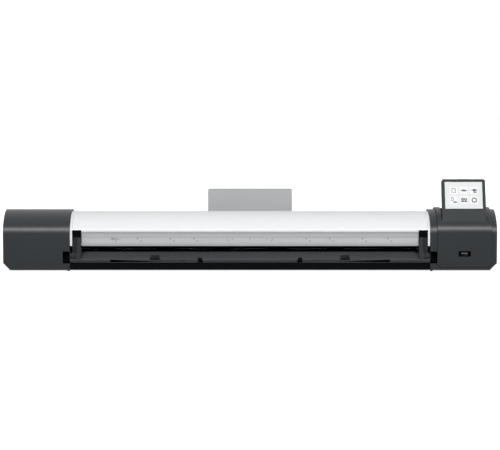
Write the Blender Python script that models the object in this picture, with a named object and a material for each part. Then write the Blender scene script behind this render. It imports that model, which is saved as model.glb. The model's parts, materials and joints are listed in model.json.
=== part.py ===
"""Wide-format roll-in image scanner, as separate named solids.

Metres, +Z up. The front faces -Y. While the pieces are made, y = 0 is the housings' front face and z = 0 is
the underside of the base pan. At the end one empty stands the scanner on its feet and centres its depth.
"""
import bpy
import bmesh
from math import acos, cos, hypot, pi, radians, sin, sqrt
from mathutils import Matrix, Vector

# Clearances that every piece shares
GAP = 0.0003               # between solids that seat on each other
RUNNING_GAP = 0.0005       # beside pieces that turn or slide
OVERRUN = 0.004            # how far a cutter runs past what it cuts

# The display, the pod round it and the housing round the pod set the width of both housings
SCREEN_WIDTH = 0.0701
SCREEN_SIDE_BORDER = 0.00595
POD_DISPLAY_MARGIN = 0.010
POD_INNER_MARGIN = 0.013
POD_OUTER_MARGIN = 0.009
DISPLAY_WIDTH = SCREEN_WIDTH + 2 * SCREEN_SIDE_BORDER
POD_WIDTH = DISPLAY_WIDTH + 2 * POD_DISPLAY_MARGIN
HOUSING_WIDTH = POD_INNER_MARGIN + POD_WIDTH + POD_OUTER_MARGIN

# Overall shape of the two end housings, seen from the side
MOUTH_HALF = 0.336         # centre to a housing's inner face
HALF_WIDTH = MOUTH_HALF + HOUSING_WIDTH
HOUSING_TOP = 0.1086
FRONT_ROLL_RADIUS = 0.074
CREASE_SLOPE = radians(55)
CREASE_RADIUS = 0.008
BACK_ROLL_RADIUS = 0.150
BACK_ROLL_ANGLE = radians(36)
BACK_CORNER_RADIUS = 0.040
HOUSING_WALL = 0.0025
HOUSING_CHAMFER = 0.013
FRONT_ROLL_STEPS = 9
BACK_ROLL_STEPS = 5
CORNER_STEPS = 5
CREASE_STEPS = 3
APEX_Y = FRONT_ROLL_RADIUS * sin(CREASE_SLOPE)
DEPTH = APEX_Y + (BACK_ROLL_RADIUS - BACK_CORNER_RADIUS) * sin(BACK_ROLL_ANGLE) + BACK_CORNER_RADIUS

# Paper path: the sheet runs level over the glass
PAPER_Z = 0.032
ROLLER_RADIUS = 0.008
SHAFT_RADIUS = 0.004
FRONT_ROLLER_Y = 0.050
ROLLER_SPACING = 0.080
REAR_ROLLER_Y = FRONT_ROLLER_Y + ROLLER_SPACING
ROLLER_Z = PAPER_Z - ROLLER_RADIUS
ROLLER_CLEARANCE = 0.0015
IDLER_RADIUS = 0.006
IDLER_SHAFT_RADIUS = 0.002
IDLER_WHEELS = 6
IDLER_WHEEL_LENGTH = 0.032
IDLER_Z = PAPER_Z + GAP + IDLER_RADIUS

# Base pan and side plates
PAN_WALL = 0.002
PAN_FRONT = 0.003
PAN_FRONT_TOP = 0.0135
PAN_LEDGE = 0.018
PAN_END_SETBACK = 0.020
PAN_BACK = DEPTH - HOUSING_WALL - RUNNING_GAP
PAN_BACK_TOP = 0.0293
PAN_HALF = HALF_WIDTH - PAN_END_SETBACK
SIDE_PLATE_WALL = 0.002
SIDE_PLATE_INNER = MOUTH_HALF + HOUSING_WALL + RUNNING_GAP
SIDE_PLATE_OUTER = SIDE_PLATE_INNER + SIDE_PLATE_WALL
SIDE_PLATE_INSET = 0.006
SIDE_PLATE_FRONT = 0.026
FLOOR_Z = PAN_WALL + GAP

# Front notches beside the mouth
NOTCH_WIDTH = 0.013
NOTCH_BOTTOM = 0.0125
NOTCH_TOP = 0.035

# White lid
LID_INSET = 0.0035
LID_WALL = 0.0025
LID_NOSE_UNDER_Y = 0.009
LID_NOSE_UNDER_Z = 0.0705
LID_BOTTOM = 0.063
LID_SIDE_GAP = 0.0005
CHEEK_WALL = 0.004
CHEEK_BOTTOM = 0.045
BARREL_RADIUS = 0.007
HINGE_ANGLE = radians(33)
HINGE_PIN_RADIUS = 0.003
LID_SWING_GAP = 0.0014     # beside the hinge barrel, so the open lid clears the rear cover
LID_ROLL = BACK_ROLL_RADIUS - LID_INSET
BACK_ROLL_Z = HOUSING_TOP - BACK_ROLL_RADIUS
HINGE_Y = APEX_Y + (LID_ROLL - BARREL_RADIUS) * sin(HINGE_ANGLE)
HINGE_Z = BACK_ROLL_Z + (LID_ROLL - BARREL_RADIUS) * cos(HINGE_ANGLE)
CHEEK_OUTER = MOUTH_HALF - LID_SIDE_GAP
CHEEK_INNER = CHEEK_OUTER - CHEEK_WALL
LID_HALF = CHEEK_INNER - GAP
BARREL_STEPS = 12
EAR_HALF = 0.006
EAR_DROP = 0.0045

# Half lengths of the glass and of the plate over it
GLASS_END_MARGIN = 0.014
GLASS_HALF = MOUTH_HALF - GLASS_END_MARGIN
PLATE_END_MARGIN = 0.002
PLATE_HALF = GLASS_HALF - PLATE_END_MARGIN

# Scale strip, upper guide and what hangs in the lid
LEVER_WIDTH = 0.0165
STRIP_HALF = LID_HALF - LEVER_WIDTH - GAP
STRIP_FRONT = LID_NOSE_UNDER_Y
STRIP_WALL = 0.002
STRIP_BOTTOM = 0.0448
STRIP_TOP = LID_BOTTOM - 3 * GAP
GUIDE_WALL = 0.002
GUIDE_DROP_END = 0.036
GUIDE_LIP_DEPTH = 0.006
LID_FRAME_WALL = 0.0015
LID_FRAME_BOTTOM = 0.046
LID_FRAME_HEIGHT = 0.014
PLATE_RISE = 0.0008
PLATE_WALL = 0.0015
PLATE_FLANGE = 0.006
PLATE_DEPTH = 0.048
SPRING_STRIP = 0.0006
SPRING_SPAN = 0.060
SPRING_WIDTH = 0.012
SPRING_FOOT = 0.008
SPRING_STEPS = 8
SPRING_PLACE_SHARES = (-0.75, -0.25, 0.25, 0.75)

# Lid release levers
CAP_FRONT = 0.0025
CAP_DEPTH = 0.0055
CAP_BOTTOM = 0.0617
CAP_TOP = 0.073
CAP_RIBS = 5
RIB_DEPTH = 0.0008
RIB_START_SHARE = 0.25
LEVER_PIVOT_Y = 0.0135
LEVER_PIVOT_Z = 0.050
LEVER_PIVOT_RADIUS = 0.0025
LEVER_BOSS = 0.005
LEVER_WEB = 0.008
LEVER_NOSE_Y = 0.0225
LEVER_FOOT_Z = 0.0355
LEVER_FOOT_HEIGHT = 0.004
LEVER_RISE = 0.0014         # room over the cap for its arc when it is pressed

# Document tray and its fold-out supports
TRAY_WALL = 0.0025
TRAY_LIP_TOP = 0.0195
TRAY_HALF = MOUTH_HALF - RUNNING_GAP
TRAY_BACK = FRONT_ROLLER_Y - ROLLER_RADIUS - ROLLER_CLEARANCE
TRAY_BACK_TOP = PAPER_Z - GAP
TRAY_LIP_BOTTOM = PAN_FRONT_TOP + GAP
TAB_REACH = 0.011
TAB_FRONT = 0.005
TAB_DEPTH = 0.014
TAB_BOTTOM = 0.016
TAB_WALL = 0.002
KEEPER_WIDTH = 0.008
KEEPER_DEPTH = 0.003
KEEPER_TOP = 0.039
SUPPORT_PIVOT_X = 0.097
SUPPORT_PIVOT_Y = 0.0085
SUPPORT_RADIUS = 0.0079
SUPPORT_END_X = 0.260
SUPPORT_TAPER_X = 0.167
SUPPORT_THICK = 0.005
SUPPORT_THIN = 0.0022
SUPPORT_PIN_RADIUS = 0.0025
FINGER_NOTCH_X = 0.168
FINGER_NOTCH_WIDTH = 0.019
FINGER_NOTCH_DEPTH = 0.018
FINGER_NOTCH_TAPER = 0.0015

# Curved entry uprights at the ends of the mouth
UPRIGHT_FRONT = 0.0008
UPRIGHT_DEPTH = 0.0042
UPRIGHT_TOP = CAP_BOTTOM - RUNNING_GAP
UPRIGHT_WAIST_Z = 0.034
UPRIGHT_FOOT_Z = 0.0195
UPRIGHT_INNER = STRIP_HALF + 0.5 * RUNNING_GAP
UPRIGHT_OUTER = LID_HALF - RUNNING_GAP
UPRIGHT_FOOT_SHIFT = 0.0045
UPRIGHT_BULGE = 0.0045
UPRIGHT_STEPS = 6
UPRIGHT_FULLNESS = 0.7      # below 1 the bulge is squarer than half a wave

# Glass, sensors and exit table
GLASS_WALL = 0.003
RAIL_WALL = 0.003
RAIL_LEDGE = 0.0045
RAIL_HEIGHT = 0.0115
RAIL_SHELF = 0.0022
RAIL_FRONT = FRONT_ROLLER_Y + ROLLER_RADIUS + ROLLER_CLEARANCE
RAIL_BACK = REAR_ROLLER_Y - ROLLER_RADIUS - ROLLER_CLEARANCE
RAIL_TOP = PAPER_Z - GAP
GLASS_FRONT = RAIL_FRONT + RAIL_WALL + GAP
GLASS_BACK = RAIL_BACK - RAIL_WALL - GAP
CARRIER_WALL = 0.0015
CARRIER_HEIGHT = 0.010
SENSOR_DEPTH = 0.020
SENSOR_OVERLAP = 0.021
SENSOR_END_MARGIN = 0.001
SENSOR_LENGTH = 2 * (GLASS_HALF - SENSOR_END_MARGIN + SENSOR_OVERLAP) / 3
SENSOR_WINDOW = 0.010
SENSOR_WINDOW_DEPTH = 0.0015
SENSOR_WINDOW_END = 0.004
CARRIER_FRONT = GLASS_FRONT + RAIL_LEDGE
CARRIER_BACK = GLASS_BACK - RAIL_LEDGE
EXIT_WALL = 0.002
EXIT_TOP = PAPER_Z - GAP

# Return guide behind the exit
RETURN_HALF = 0.0815
RETURN_WALL = 0.0022
RETURN_FOOT_BOTTOM = 0.006
RETURN_BEND_LOW = 0.018
RETURN_BEND_HIGH = 0.034
RETURN_OFFSET = 0.0157
RETURN_TOP = 0.1392
RETURN_CHAMFER = 0.003
RETURN_FRONT = PAN_BACK + GAP
RETURN_BACK = RETURN_FRONT + RETURN_OFFSET + RETURN_WALL

# Rear cover over the exit
REAR_COVER_SKIRT = 0.0035
REAR_COVER_WALL = 0.0025
BACK_CORNER_Z = BACK_ROLL_Z + (BACK_ROLL_RADIUS - BACK_CORNER_RADIUS) * cos(BACK_ROLL_ANGLE)

# Control pod on the right housing, and its display
POD_X = MOUTH_HALF + POD_INNER_MARGIN + 0.5 * POD_WIDTH
POD_PROUD = 0.004
POD_FRONT_PROUD = 0.0015
POD_WALL = 0.003
POD_SIDE_WALL = 0.002
POD_SIDE_DEPTH = 0.008
POD_BOTTOM = 0.0052
POD_CHAMFER = 0.0065
POD_BACK = 0.126
POD_ROLL_RADIUS = 0.0736
DISPLAY_LENGTH = 0.083
DISPLAY_HALF_WALL = 0.005
DISPLAY_CORNER = 0.004
DISPLAY_LEAN = radians(22.5)
DISPLAY_FOLDED = radians(82)
DISPLAY_PIVOT_Y = 0.0129
DISPLAY_PIVOT_Z = 0.0889
DISPLAY_PIN_RADIUS = 0.0016
DISPLAY_CLEARANCE = 0.0008
DISPLAY_SIDE_CLEARANCE = 0.001
DISPLAY_TAB_HALF = 0.011
DISPLAY_TAB_HEIGHT = 0.001
POCKET_WALL = 0.002
POCKET_STEPS = 5
SCREEN_HEIGHT = 0.0526
SCREEN_TOP_BORDER = 0.0057
SCREEN_WALL = 0.001
SCREEN_SINK = 0.0003

# Front USB socket in its recess
USB_RECESS_WIDTH = 0.024
USB_RECESS_BOTTOM = 0.025
USB_RECESS_TOP = 0.036
USB_RECESS_DEPTH = 0.0095
USB_WIDTH = 0.0131
USB_HEIGHT = 0.0057
USB_LENGTH = 0.016
USB_SHELL = 0.0006
USB_FRONT = 0.0045
USB_TONGUE = 0.0018
USB_TONGUE_WIDTH = 0.0105

# Drive train in the left housing
PULLEY_OFFSET = 0.009
PULLEY_X = SIDE_PLATE_OUTER + PULLEY_OFFSET
PULLEY_WIDTH = 0.007
PULLEY_RADIUS = 0.010
PULLEY_FLANGE = 0.0025
PULLEY_FLANGE_WALL = 0.001
MOTOR_PULLEY_RADIUS = 0.006
MOTOR_Y = 0.5 * (FRONT_ROLLER_Y + REAR_ROLLER_Y)
MOTOR_Z = 0.060
MOTOR_SIZE = 0.0423
MOTOR_LENGTH = 0.038
MOTOR_CORNER = 0.005
MOTOR_SHAFT_RADIUS = 0.0025
BRACKET_WALL = 0.002
BRACKET_MARGIN = 0.003
BRACKET_FOOT = 0.016
BRACKET_HOLE = 0.011
BELT_WALL = 0.0014
BELT_WIDTH = 0.0058
BELT_LIFT = 0.0004
BUSH_WALL = 0.002
BUSH_FLANGE_WALL = 0.0015
BUSH_FLANGE = 0.002
SHAFT_STUB = 0.004

# Boards and connectors in the right and left housings
BOARD_WALL = 0.0016
STANDOFF_HEIGHT = 0.007
STANDOFF_RADIUS = 0.003
STANDOFF_MARGIN = 0.006
BOARD_Z = FLOOR_Z + STANDOFF_HEIGHT
MAIN_BOARD_MARGIN = 0.018
MAIN_BOARD_LOW_X = MOUTH_HALF + MAIN_BOARD_MARGIN
MAIN_BOARD_WIDTH = 0.084
MAIN_BOARD_FRONT = 0.030
PANEL_WALL = 0.0015
PANEL_SETBACK = 0.0015
PANEL_BACK = DEPTH - HOUSING_WALL - PANEL_SETBACK
PANEL_MARGIN = 0.019
PANEL_LOW_X = MOUTH_HALF + PANEL_MARGIN
PANEL_TO_INLET = 0.020
INLET_TO_NETWORK = 0.026
NETWORK_TO_USB = 0.017
USB_TO_BUTTON = 0.0135
BUTTON_TO_EDGE = 0.0115
INLET_X = PANEL_LOW_X + PANEL_TO_INLET
NETWORK_X = INLET_X + INLET_TO_NETWORK
REAR_USB_X = NETWORK_X + NETWORK_TO_USB
BUTTON_X = REAR_USB_X + USB_TO_BUTTON
PANEL_WIDTH = BUTTON_X + BUTTON_TO_EDGE - PANEL_LOW_X
PANEL_TOP = 0.044
PANEL_OPENING_MARGIN = 0.004
PANEL_OPENING_TOP = 0.040
PANEL_OPENING_BOTTOM = 0.008
MAIN_BOARD_BACK = PANEL_BACK - PANEL_WALL - 2 * GAP
POWER_BOARD_MARGIN = 0.016
POWER_BOARD_HIGH_X = HALF_WIDTH - POWER_BOARD_MARGIN
POWER_BOARD_WIDTH = 0.036
POWER_BOARD_FRONT = 0.030
POWER_BOARD_DEPTH = 0.110
CHIP_HEIGHT = 0.003
HEATSINK_HEIGHT = 0.012
TRANSFORMER_HEIGHT = 0.024
CAPACITOR_HEIGHT = 0.020
MAIN_BLOCK_SHARES = ((0.30, 0.52, 0.28, 0.44, HEATSINK_HEIGHT), (0.62, 0.80, 0.30, 0.42, CHIP_HEIGHT),
                     (0.15, 0.85, 0.06, 0.12, CHIP_HEIGHT), (0.18, 0.34, 0.56, 0.70, CHIP_HEIGHT))
POWER_BLOCK_SHARES = ((0.20, 0.80, 0.40, 0.66, TRANSFORMER_HEIGHT),
                      (0.22, 0.62, 0.12, 0.28, CAPACITOR_HEIGHT),
                      (0.10, 0.90, 0.78, 0.84, HEATSINK_HEIGHT))
PORT_Z = BOARD_Z + BOARD_WALL + GAP
INLET_WIDTH = 0.027
INLET_HEIGHT = 0.0195
INLET_DEPTH = 0.022
INLET_LIP = 0.0018
INLET_CAVITY = 0.015
INLET_PIN_WIDTH = 0.002
INLET_PIN_HEIGHT = 0.004
INLET_PIN_PITCH = 0.007
INLET_PIN_DROP = 0.004
INLET_PIN_SETBACK = 0.0055
NETWORK_WIDTH = 0.0155
NETWORK_HEIGHT = 0.0132
NETWORK_DEPTH = 0.018
NETWORK_LIP = 0.0018
NETWORK_CAVITY = 0.012
REAR_USB_WIDTH = 0.012
REAR_USB_HEIGHT = 0.0108
REAR_USB_DEPTH = 0.016
REAR_USB_LIP = 0.0016
REAR_USB_CAVITY = 0.009
REAR_USB_TONGUE = 0.0032
REAR_USB_TONGUE_SETBACK = 0.005
PORT_SHOULDER = 0.001
PORT_PROUD = 0.0012
BUTTON_Z = 0.031
BUTTON_RADIUS = 0.0045
BUTTON_COLLAR = 0.0012
BUTTON_PROUD = 0.004
BUTTON_LENGTH = 0.008

# Feet, and the clip under each housing's inner corner
FOOT_HEIGHT = 0.0025
FOOT_WIDTH = 0.014
FOOT_Y_SETBACK = 0.024
FOOT_END_SETBACK = 0.036
NUB_WIDTH = 0.0045
NUB_DEPTH = 0.008
NUB_DROP = 0.0016

ROUND_SIDES = 24
SMALL_SIDES = 16

MATERIALS = {
    "housing": ((0.045, 0.050, 0.054, 1), 0.55, 0.0),
    "lid_white": ((0.86, 0.87, 0.88, 1), 0.35, 0.0),
    "tray_grey": ((0.060, 0.064, 0.067, 1), 0.50, 0.0),
    "near_black": ((0.012, 0.014, 0.016, 1), 0.50, 0.0),
    "silver": ((0.52, 0.53, 0.54, 1), 0.35, 0.6),
    "guide_grey": ((0.40, 0.41, 0.42, 1), 0.45, 0.0),
    "steel": ((0.55, 0.56, 0.57, 1), 0.35, 1.0),
    "rubber": ((0.020, 0.020, 0.020, 1), 0.85, 0.0),
    "glass": ((0.70, 0.80, 0.82, 1), 0.05, 0.0),
    "screen": ((0.82, 0.84, 0.84, 1), 0.15, 0.0),
    "board_green": ((0.030, 0.180, 0.080, 1), 0.50, 0.0),
    "brass": ((0.70, 0.52, 0.22, 1), 0.35, 1.0),
    "white_plate": ((0.90, 0.90, 0.90, 1), 0.40, 0.0),
}


def clear_scene():
    for item in list(bpy.data.objects):
        bpy.data.objects.remove(item, do_unlink=True)


def material(name):
    """The Principled material of one finish, made once."""
    found = bpy.data.materials.get(name)
    if found:
        return found
    colour, roughness, metallic = MATERIALS[name]
    made = bpy.data.materials.new(name)
    made.use_nodes = True
    shader = made.node_tree.nodes["Principled BSDF"]
    shader.inputs["Base Color"].default_value = colour
    shader.inputs["Roughness"].default_value = roughness
    shader.inputs["Metallic"].default_value = metallic
    return made


def place(axis, a, b, along):
    """A point from two outline coordinates and a distance along the axis."""
    if axis == "X":
        return Vector((along, a, b))
    if axis == "Y":
        return Vector((a, along, b))
    return Vector((a, b, along))


def new_object(name, shape, finish=None):
    """An object from a bmesh; with no finish it is a helper that only cuts or joins."""
    bmesh.ops.recalc_face_normals(shape, faces=shape.faces)
    mesh = bpy.data.meshes.new(name)
    shape.to_mesh(mesh)
    shape.free()
    made = bpy.data.objects.new(name, mesh)
    bpy.context.collection.objects.link(made)
    if finish:
        mesh.materials.append(material(finish))
    else:
        made.hide_render = True
        made.display_type = "WIRE"
    return made


def prism(name, outline, axis, low, high, finish=None):
    """An outline pushed along one axis."""
    shape = bmesh.new()
    face = shape.faces.new([shape.verts.new(place(axis, a, b, low)) for a, b in outline])
    pushed = bmesh.ops.extrude_face_region(shape, geom=[face])
    moved = [item for item in pushed["geom"] if isinstance(item, bmesh.types.BMVert)]
    bmesh.ops.translate(shape, verts=moved, vec=place(axis, 0, 0, high - low))
    return new_object(name, shape, finish)


def box(name, x_span, y_span, z_span, finish=None):
    """A box between two x, two y and two z values."""
    (x0, x1), (y0, y1), (z0, z1) = x_span, y_span, z_span
    return prism(name, [(x0, y0), (x1, y0), (x1, y1), (x0, y1)], "Z", z0, z1, finish)


def turned(name, stations, axis, centre, sides, finish=None, bore=None):
    """A round piece about an axis: stations are (distance along the axis, radius), end to end."""
    rows = list(stations)
    if bore:
        rows = rows + [(rows[-1][0], bore), (rows[0][0], bore)]
    shape = bmesh.new()
    rings = []
    for along, radius in rows:
        ring = []
        for step in range(sides):
            turn = 2 * pi * step / sides
            a = centre[0] + radius * cos(turn)
            b = centre[1] + radius * sin(turn)
            ring.append(shape.verts.new(place(axis, a, b, along)))
        rings.append(ring)
    pairs = list(zip(rings, rings[1:]))
    if bore:
        pairs.append((rings[-1], rings[0]))
    else:
        shape.faces.new(rings[0])
        shape.faces.new(rings[-1])
    for first, second in pairs:
        for step in range(sides):
            after = (step + 1) % sides
            shape.faces.new([first[step], first[after], second[after], second[step]])
    made = new_object(name, shape, finish)
    made.data.shade_smooth()
    made.data.set_sharp_from_angle(angle=radians(40))
    return made


def rod(name, axis, centre, radius, low, high, sides, finish=None, bore=None):
    return turned(name, [(low, radius), (high, radius)], axis, centre, sides, finish, bore)


def combine(target, operation, helpers):
    for helper in helpers:
        step = target.modifiers.new(operation.lower(), "BOOLEAN")
        step.operation = operation
        step.solver = "EXACT"
        step.object = helper
    return target


def cut(target, *helpers):
    return combine(target, "DIFFERENCE", helpers)


def fuse(target, *helpers):
    return combine(target, "UNION", helpers)


def arc(centre, radius, start, end, steps):
    """Points on a circle; angles turn from straight up towards the back."""
    points = []
    for step in range(steps + 1):
        angle = start + (end - start) * step / steps
        points.append((centre[0] + radius * sin(angle), centre[1] + radius * cos(angle)))
    return points


def soften(outline, corner, radius, steps):
    """The outline with one corner rounded."""
    before, at, after = (Vector(outline[corner - 1]), Vector(outline[corner]),
                         Vector(outline[(corner + 1) % len(outline)]))
    arm_in, arm_out = (before - at).normalized(), (after - at).normalized()
    half = 0.5 * arm_in.angle(arm_out)
    reach = radius / (sin(half) / cos(half))
    middle = at + (arm_in + arm_out).normalized() * (radius / sin(half))
    start, end = at + arm_in * reach - middle, at + arm_out * reach - middle
    rounded = []
    for step in range(steps + 1):
        turned_arm = start.lerp(end, step / steps).normalized() * radius
        rounded.append(tuple(middle + turned_arm))
    return list(outline[:corner]) + rounded + list(outline[corner + 1:])


def thicken(path, wall):
    """A closed outline from an open path, with the wall on the path's right-hand side."""
    inner = []
    for index, point in enumerate(path):
        here = Vector(point)
        normals = []
        if index > 0:
            along = (here - Vector(path[index - 1])).normalized()
            normals.append(Vector((along.y, -along.x)))
        if index < len(path) - 1:
            along = (Vector(path[index + 1]) - here).normalized()
            normals.append(Vector((along.y, -along.x)))
        mean = sum(normals, Vector((0, 0))).normalized()
        inner.append(tuple(here + mean * (wall / mean.dot(normals[0]))))
    return list(path) + inner[::-1]


def front_roll(inset, top, radius, front):
    """Side profile from the front face over the crease to the top, on the circle under the top."""
    crease = CREASE_RADIUS - inset
    centre = (APEX_Y, top - radius)
    roll = radius - inset
    face = front + inset
    across = centre[0] - face - crease
    rise = sqrt((roll - crease) ** 2 - across ** 2)
    crease_centre = (face + crease, centre[1] + rise)
    slope = acos(rise / (roll - crease))
    points = arc(crease_centre, crease, -pi / 2, -slope, CREASE_STEPS)
    return points + arc(centre, roll, -slope, 0, FRONT_ROLL_STEPS)[1:]


def back_roll(inset, start=0.0):
    """Side profile from the top over the back corner to the upright back face."""
    centre = (APEX_Y, BACK_ROLL_Z)
    points = arc(centre, BACK_ROLL_RADIUS - inset, start, BACK_ROLL_ANGLE, BACK_ROLL_STEPS)
    reach = BACK_ROLL_RADIUS - BACK_CORNER_RADIUS
    corner = (centre[0] + reach * sin(BACK_ROLL_ANGLE), centre[1] + reach * cos(BACK_ROLL_ANGLE))
    return points + arc(corner, BACK_CORNER_RADIUS - inset, BACK_ROLL_ANGLE, pi / 2, CORNER_STEPS)[1:]


def housing_outline(inset, bottom):
    """The housing's side profile, closed along its bottom."""
    points = front_roll(inset, HOUSING_TOP, FRONT_ROLL_RADIUS, 0.0) + back_roll(inset)[1:]
    return [(inset, bottom)] + points + [(DEPTH - inset, bottom)]


def chamfer_cutter(name, side, inset):
    """Takes off the housing's lower outer corner at 45 degrees."""
    outer = side * (HALF_WIDTH + OVERRUN)
    low = -(HOUSING_CHAMFER + OVERRUN)
    reach = HOUSING_CHAMFER + inset * (sqrt(2) - 1)
    edge = HALF_WIDTH - inset
    span = reach - inset
    outline = [(side * (edge - span - OVERRUN), -OVERRUN), (side * (edge + OVERRUN), span + OVERRUN),
               (outer, low)]
    return prism(name, outline, "Y", -OVERRUN, DEPTH + OVERRUN)


def end_cover(name, side):
    """One end housing: a shell open underneath, with slots in its inner wall for rails and rollers."""
    inner, outer = side * MOUTH_HALF, side * HALF_WIDTH
    shell = prism(name, housing_outline(0.0, 0.0), "X", inner, outer, "housing")
    cut(shell, chamfer_cutter(name + "_corner", side, 0.0))
    hollow = prism(name + "_hollow", housing_outline(HOUSING_WALL, -OVERRUN), "X",
                   inner + side * HOUSING_WALL, outer - side * HOUSING_WALL)
    cut(hollow, chamfer_cutter(name + "_hollow_corner", side, HOUSING_WALL))
    nub = box(name + "_nub", (inner, inner + side * NUB_WIDTH), (RUNNING_GAP, NUB_DEPTH),
              (-NUB_DROP, PAN_WALL))
    fuse(shell, nub)
    through = (inner - side * OVERRUN, inner + side * (HOUSING_WALL + RUNNING_GAP))
    path_slot = box(name + "_path_slot", through, (TRAY_BACK, DEPTH - HOUSING_WALL - OVERRUN),
                    (-OVERRUN, PAPER_Z + ROLLER_CLEARANCE))
    pan_slot = box(name + "_pan_slot", through, (PAN_FRONT - GAP, PAN_BACK + GAP),
                   (-OVERRUN, PAN_FRONT_TOP + GAP))
    notch = box(name + "_notch", (inner - side * OVERRUN, inner + side * NOTCH_WIDTH),
                (-OVERRUN, TAB_FRONT + TAB_DEPTH + RUNNING_GAP), (NOTCH_BOTTOM, NOTCH_TOP))
    pin_hole = rod(name + "_pin_hole", "X", (HINGE_Y, HINGE_Z), HINGE_PIN_RADIUS + RUNNING_GAP,
                   inner - side * OVERRUN, inner + side * (HOUSING_WALL + OVERRUN), SMALL_SIDES)
    cut(shell, hollow, path_slot, pan_slot, notch, pin_hole)
    return shell


def pod_outline(inset, bottom, back):
    """The control pod's side profile, proud of the housing."""
    top = HOUSING_TOP + POD_PROUD
    front = front_roll(inset, top, POD_ROLL_RADIUS, -POD_FRONT_PROUD)
    roll = BACK_ROLL_RADIUS + POD_PROUD - inset
    end = acos(sqrt(1 - ((back - APEX_Y) / roll) ** 2))
    rear = arc((APEX_Y, BACK_ROLL_Z), roll, 0.0, end, BACK_ROLL_STEPS)[1:]
    return [(-POD_FRONT_PROUD + inset, bottom)] + front + rear


def pod_face_outline(grow, low, high):
    """The pod seen from the front: a rectangle with its lower corners cut off."""
    half = 0.5 * POD_WIDTH + grow
    corner = POD_CHAMFER
    return [(POD_X - half, high), (POD_X - half, low + corner), (POD_X - half + corner, low),
            (POD_X + half - corner, low), (POD_X + half, low + corner), (POD_X + half, high)]


def pocket_outline(grow):
    """The display's recess from the side: from the upright display round to where it lies folded back."""
    pivot = Vector((DISPLAY_PIVOT_Y, DISPLAY_PIVOT_Z))
    reach = DISPLAY_HALF_WALL + DISPLAY_CLEARANCE + grow
    folded_along = Vector((sin(DISPLAY_FOLDED), cos(DISPLAY_FOLDED)))
    upright_along = Vector((sin(DISPLAY_LEAN), cos(DISPLAY_LEAN)))
    back = DISPLAY_LENGTH + DISPLAY_TAB_HEIGHT + DISPLAY_CLEARANCE + grow
    under = arc(tuple(pivot), reach, DISPLAY_LEAN - pi / 2, DISPLAY_FOLDED - 3 * pi / 2, POCKET_STEPS)
    floor_end = Vector(under[-1]) + folded_along * back
    front_top = Vector(under[0]) + upright_along * DISPLAY_LENGTH
    return [tuple(front_top)] + under + [tuple(floor_end), (floor_end.x, front_top.y)]


def control_pod():
    """Raised shell on the right housing with the display's recess and the socket's recess."""
    back = POD_BACK
    low, high = POD_X - 0.5 * POD_WIDTH, POD_X + 0.5 * POD_WIDTH
    outer = pod_outline(0.0, POD_BOTTOM, back)
    inner = pod_outline(POD_SIDE_DEPTH, POD_BOTTOM, back - POD_WALL)
    band = outer + [(back, inner[-1][1])] + inner[::-1]
    shell = prism("control_pod", band, "X", low, high, "housing")
    hollow_top = pod_outline(POD_WALL, POD_BOTTOM - OVERRUN, back - POD_WALL)
    hollow_low = pod_outline(POD_SIDE_DEPTH + OVERRUN, POD_BOTTOM - OVERRUN, back - POD_WALL)
    hollow = prism("pod_hollow", hollow_top + hollow_low[::-1], "X", low + POD_SIDE_WALL,
                   high - POD_SIDE_WALL)
    cut(shell, hollow)
    half = 0.5 * DISPLAY_WIDTH + DISPLAY_SIDE_CLEARANCE
    liner = prism("pod_liner", pocket_outline(POCKET_WALL), "X", POD_X - half - POCKET_WALL,
                  POD_X + half + POCKET_WALL)
    above = HOUSING_TOP + POD_PROUD + DISPLAY_LENGTH
    skin = pod_outline(0.0, POD_BOTTOM, back)
    beyond = [(back, above), (-DISPLAY_LENGTH, above), (-DISPLAY_LENGTH, POD_BOTTOM)]
    sky = prism("pod_sky", skin + beyond, "X", low - OVERRUN, high + OVERRUN)
    cut(liner, sky)
    pocket = prism("pod_pocket", pocket_outline(0.0), "X", POD_X - half, POD_X + half)
    usb_half = 0.5 * USB_RECESS_WIDTH
    usb_liner = box("usb_liner", (POD_X - usb_half - POCKET_WALL, POD_X + usb_half + POCKET_WALL),
                    (-0.5 * POD_FRONT_PROUD, USB_RECESS_DEPTH),
                    (USB_RECESS_BOTTOM - POCKET_WALL, USB_RECESS_TOP + POCKET_WALL))
    usb_recess = box("usb_recess", (POD_X - usb_half, POD_X + usb_half),
                     (-POD_FRONT_PROUD - OVERRUN, USB_RECESS_DEPTH - POCKET_WALL),
                     (USB_RECESS_BOTTOM, USB_RECESS_TOP))
    usb_z = 0.5 * (USB_RECESS_BOTTOM + USB_RECESS_TOP)
    usb_hole = box("usb_hole", (POD_X - 0.5 * USB_WIDTH - GAP, POD_X + 0.5 * USB_WIDTH + GAP),
                   (0.0, USB_RECESS_DEPTH + OVERRUN),
                   (usb_z - 0.5 * USB_HEIGHT - GAP, usb_z + 0.5 * USB_HEIGHT + GAP))
    pin_hole = rod("pod_pin_hole", "X", (DISPLAY_PIVOT_Y, DISPLAY_PIVOT_Z), DISPLAY_PIN_RADIUS + GAP,
                   POD_X - half - 0.5 * POCKET_WALL, POD_X + half + 0.5 * POCKET_WALL, SMALL_SIDES)
    corners = prism("pod_corners", pod_face_outline(0.0, POD_BOTTOM, above), "Y", -DISPLAY_LENGTH,
                    back + OVERRUN)
    fuse(shell, liner, usb_liner)
    cut(shell, pocket, usb_recess, usb_hole, pin_hole)
    combine(shell, "INTERSECT", [corners])
    return shell


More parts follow.
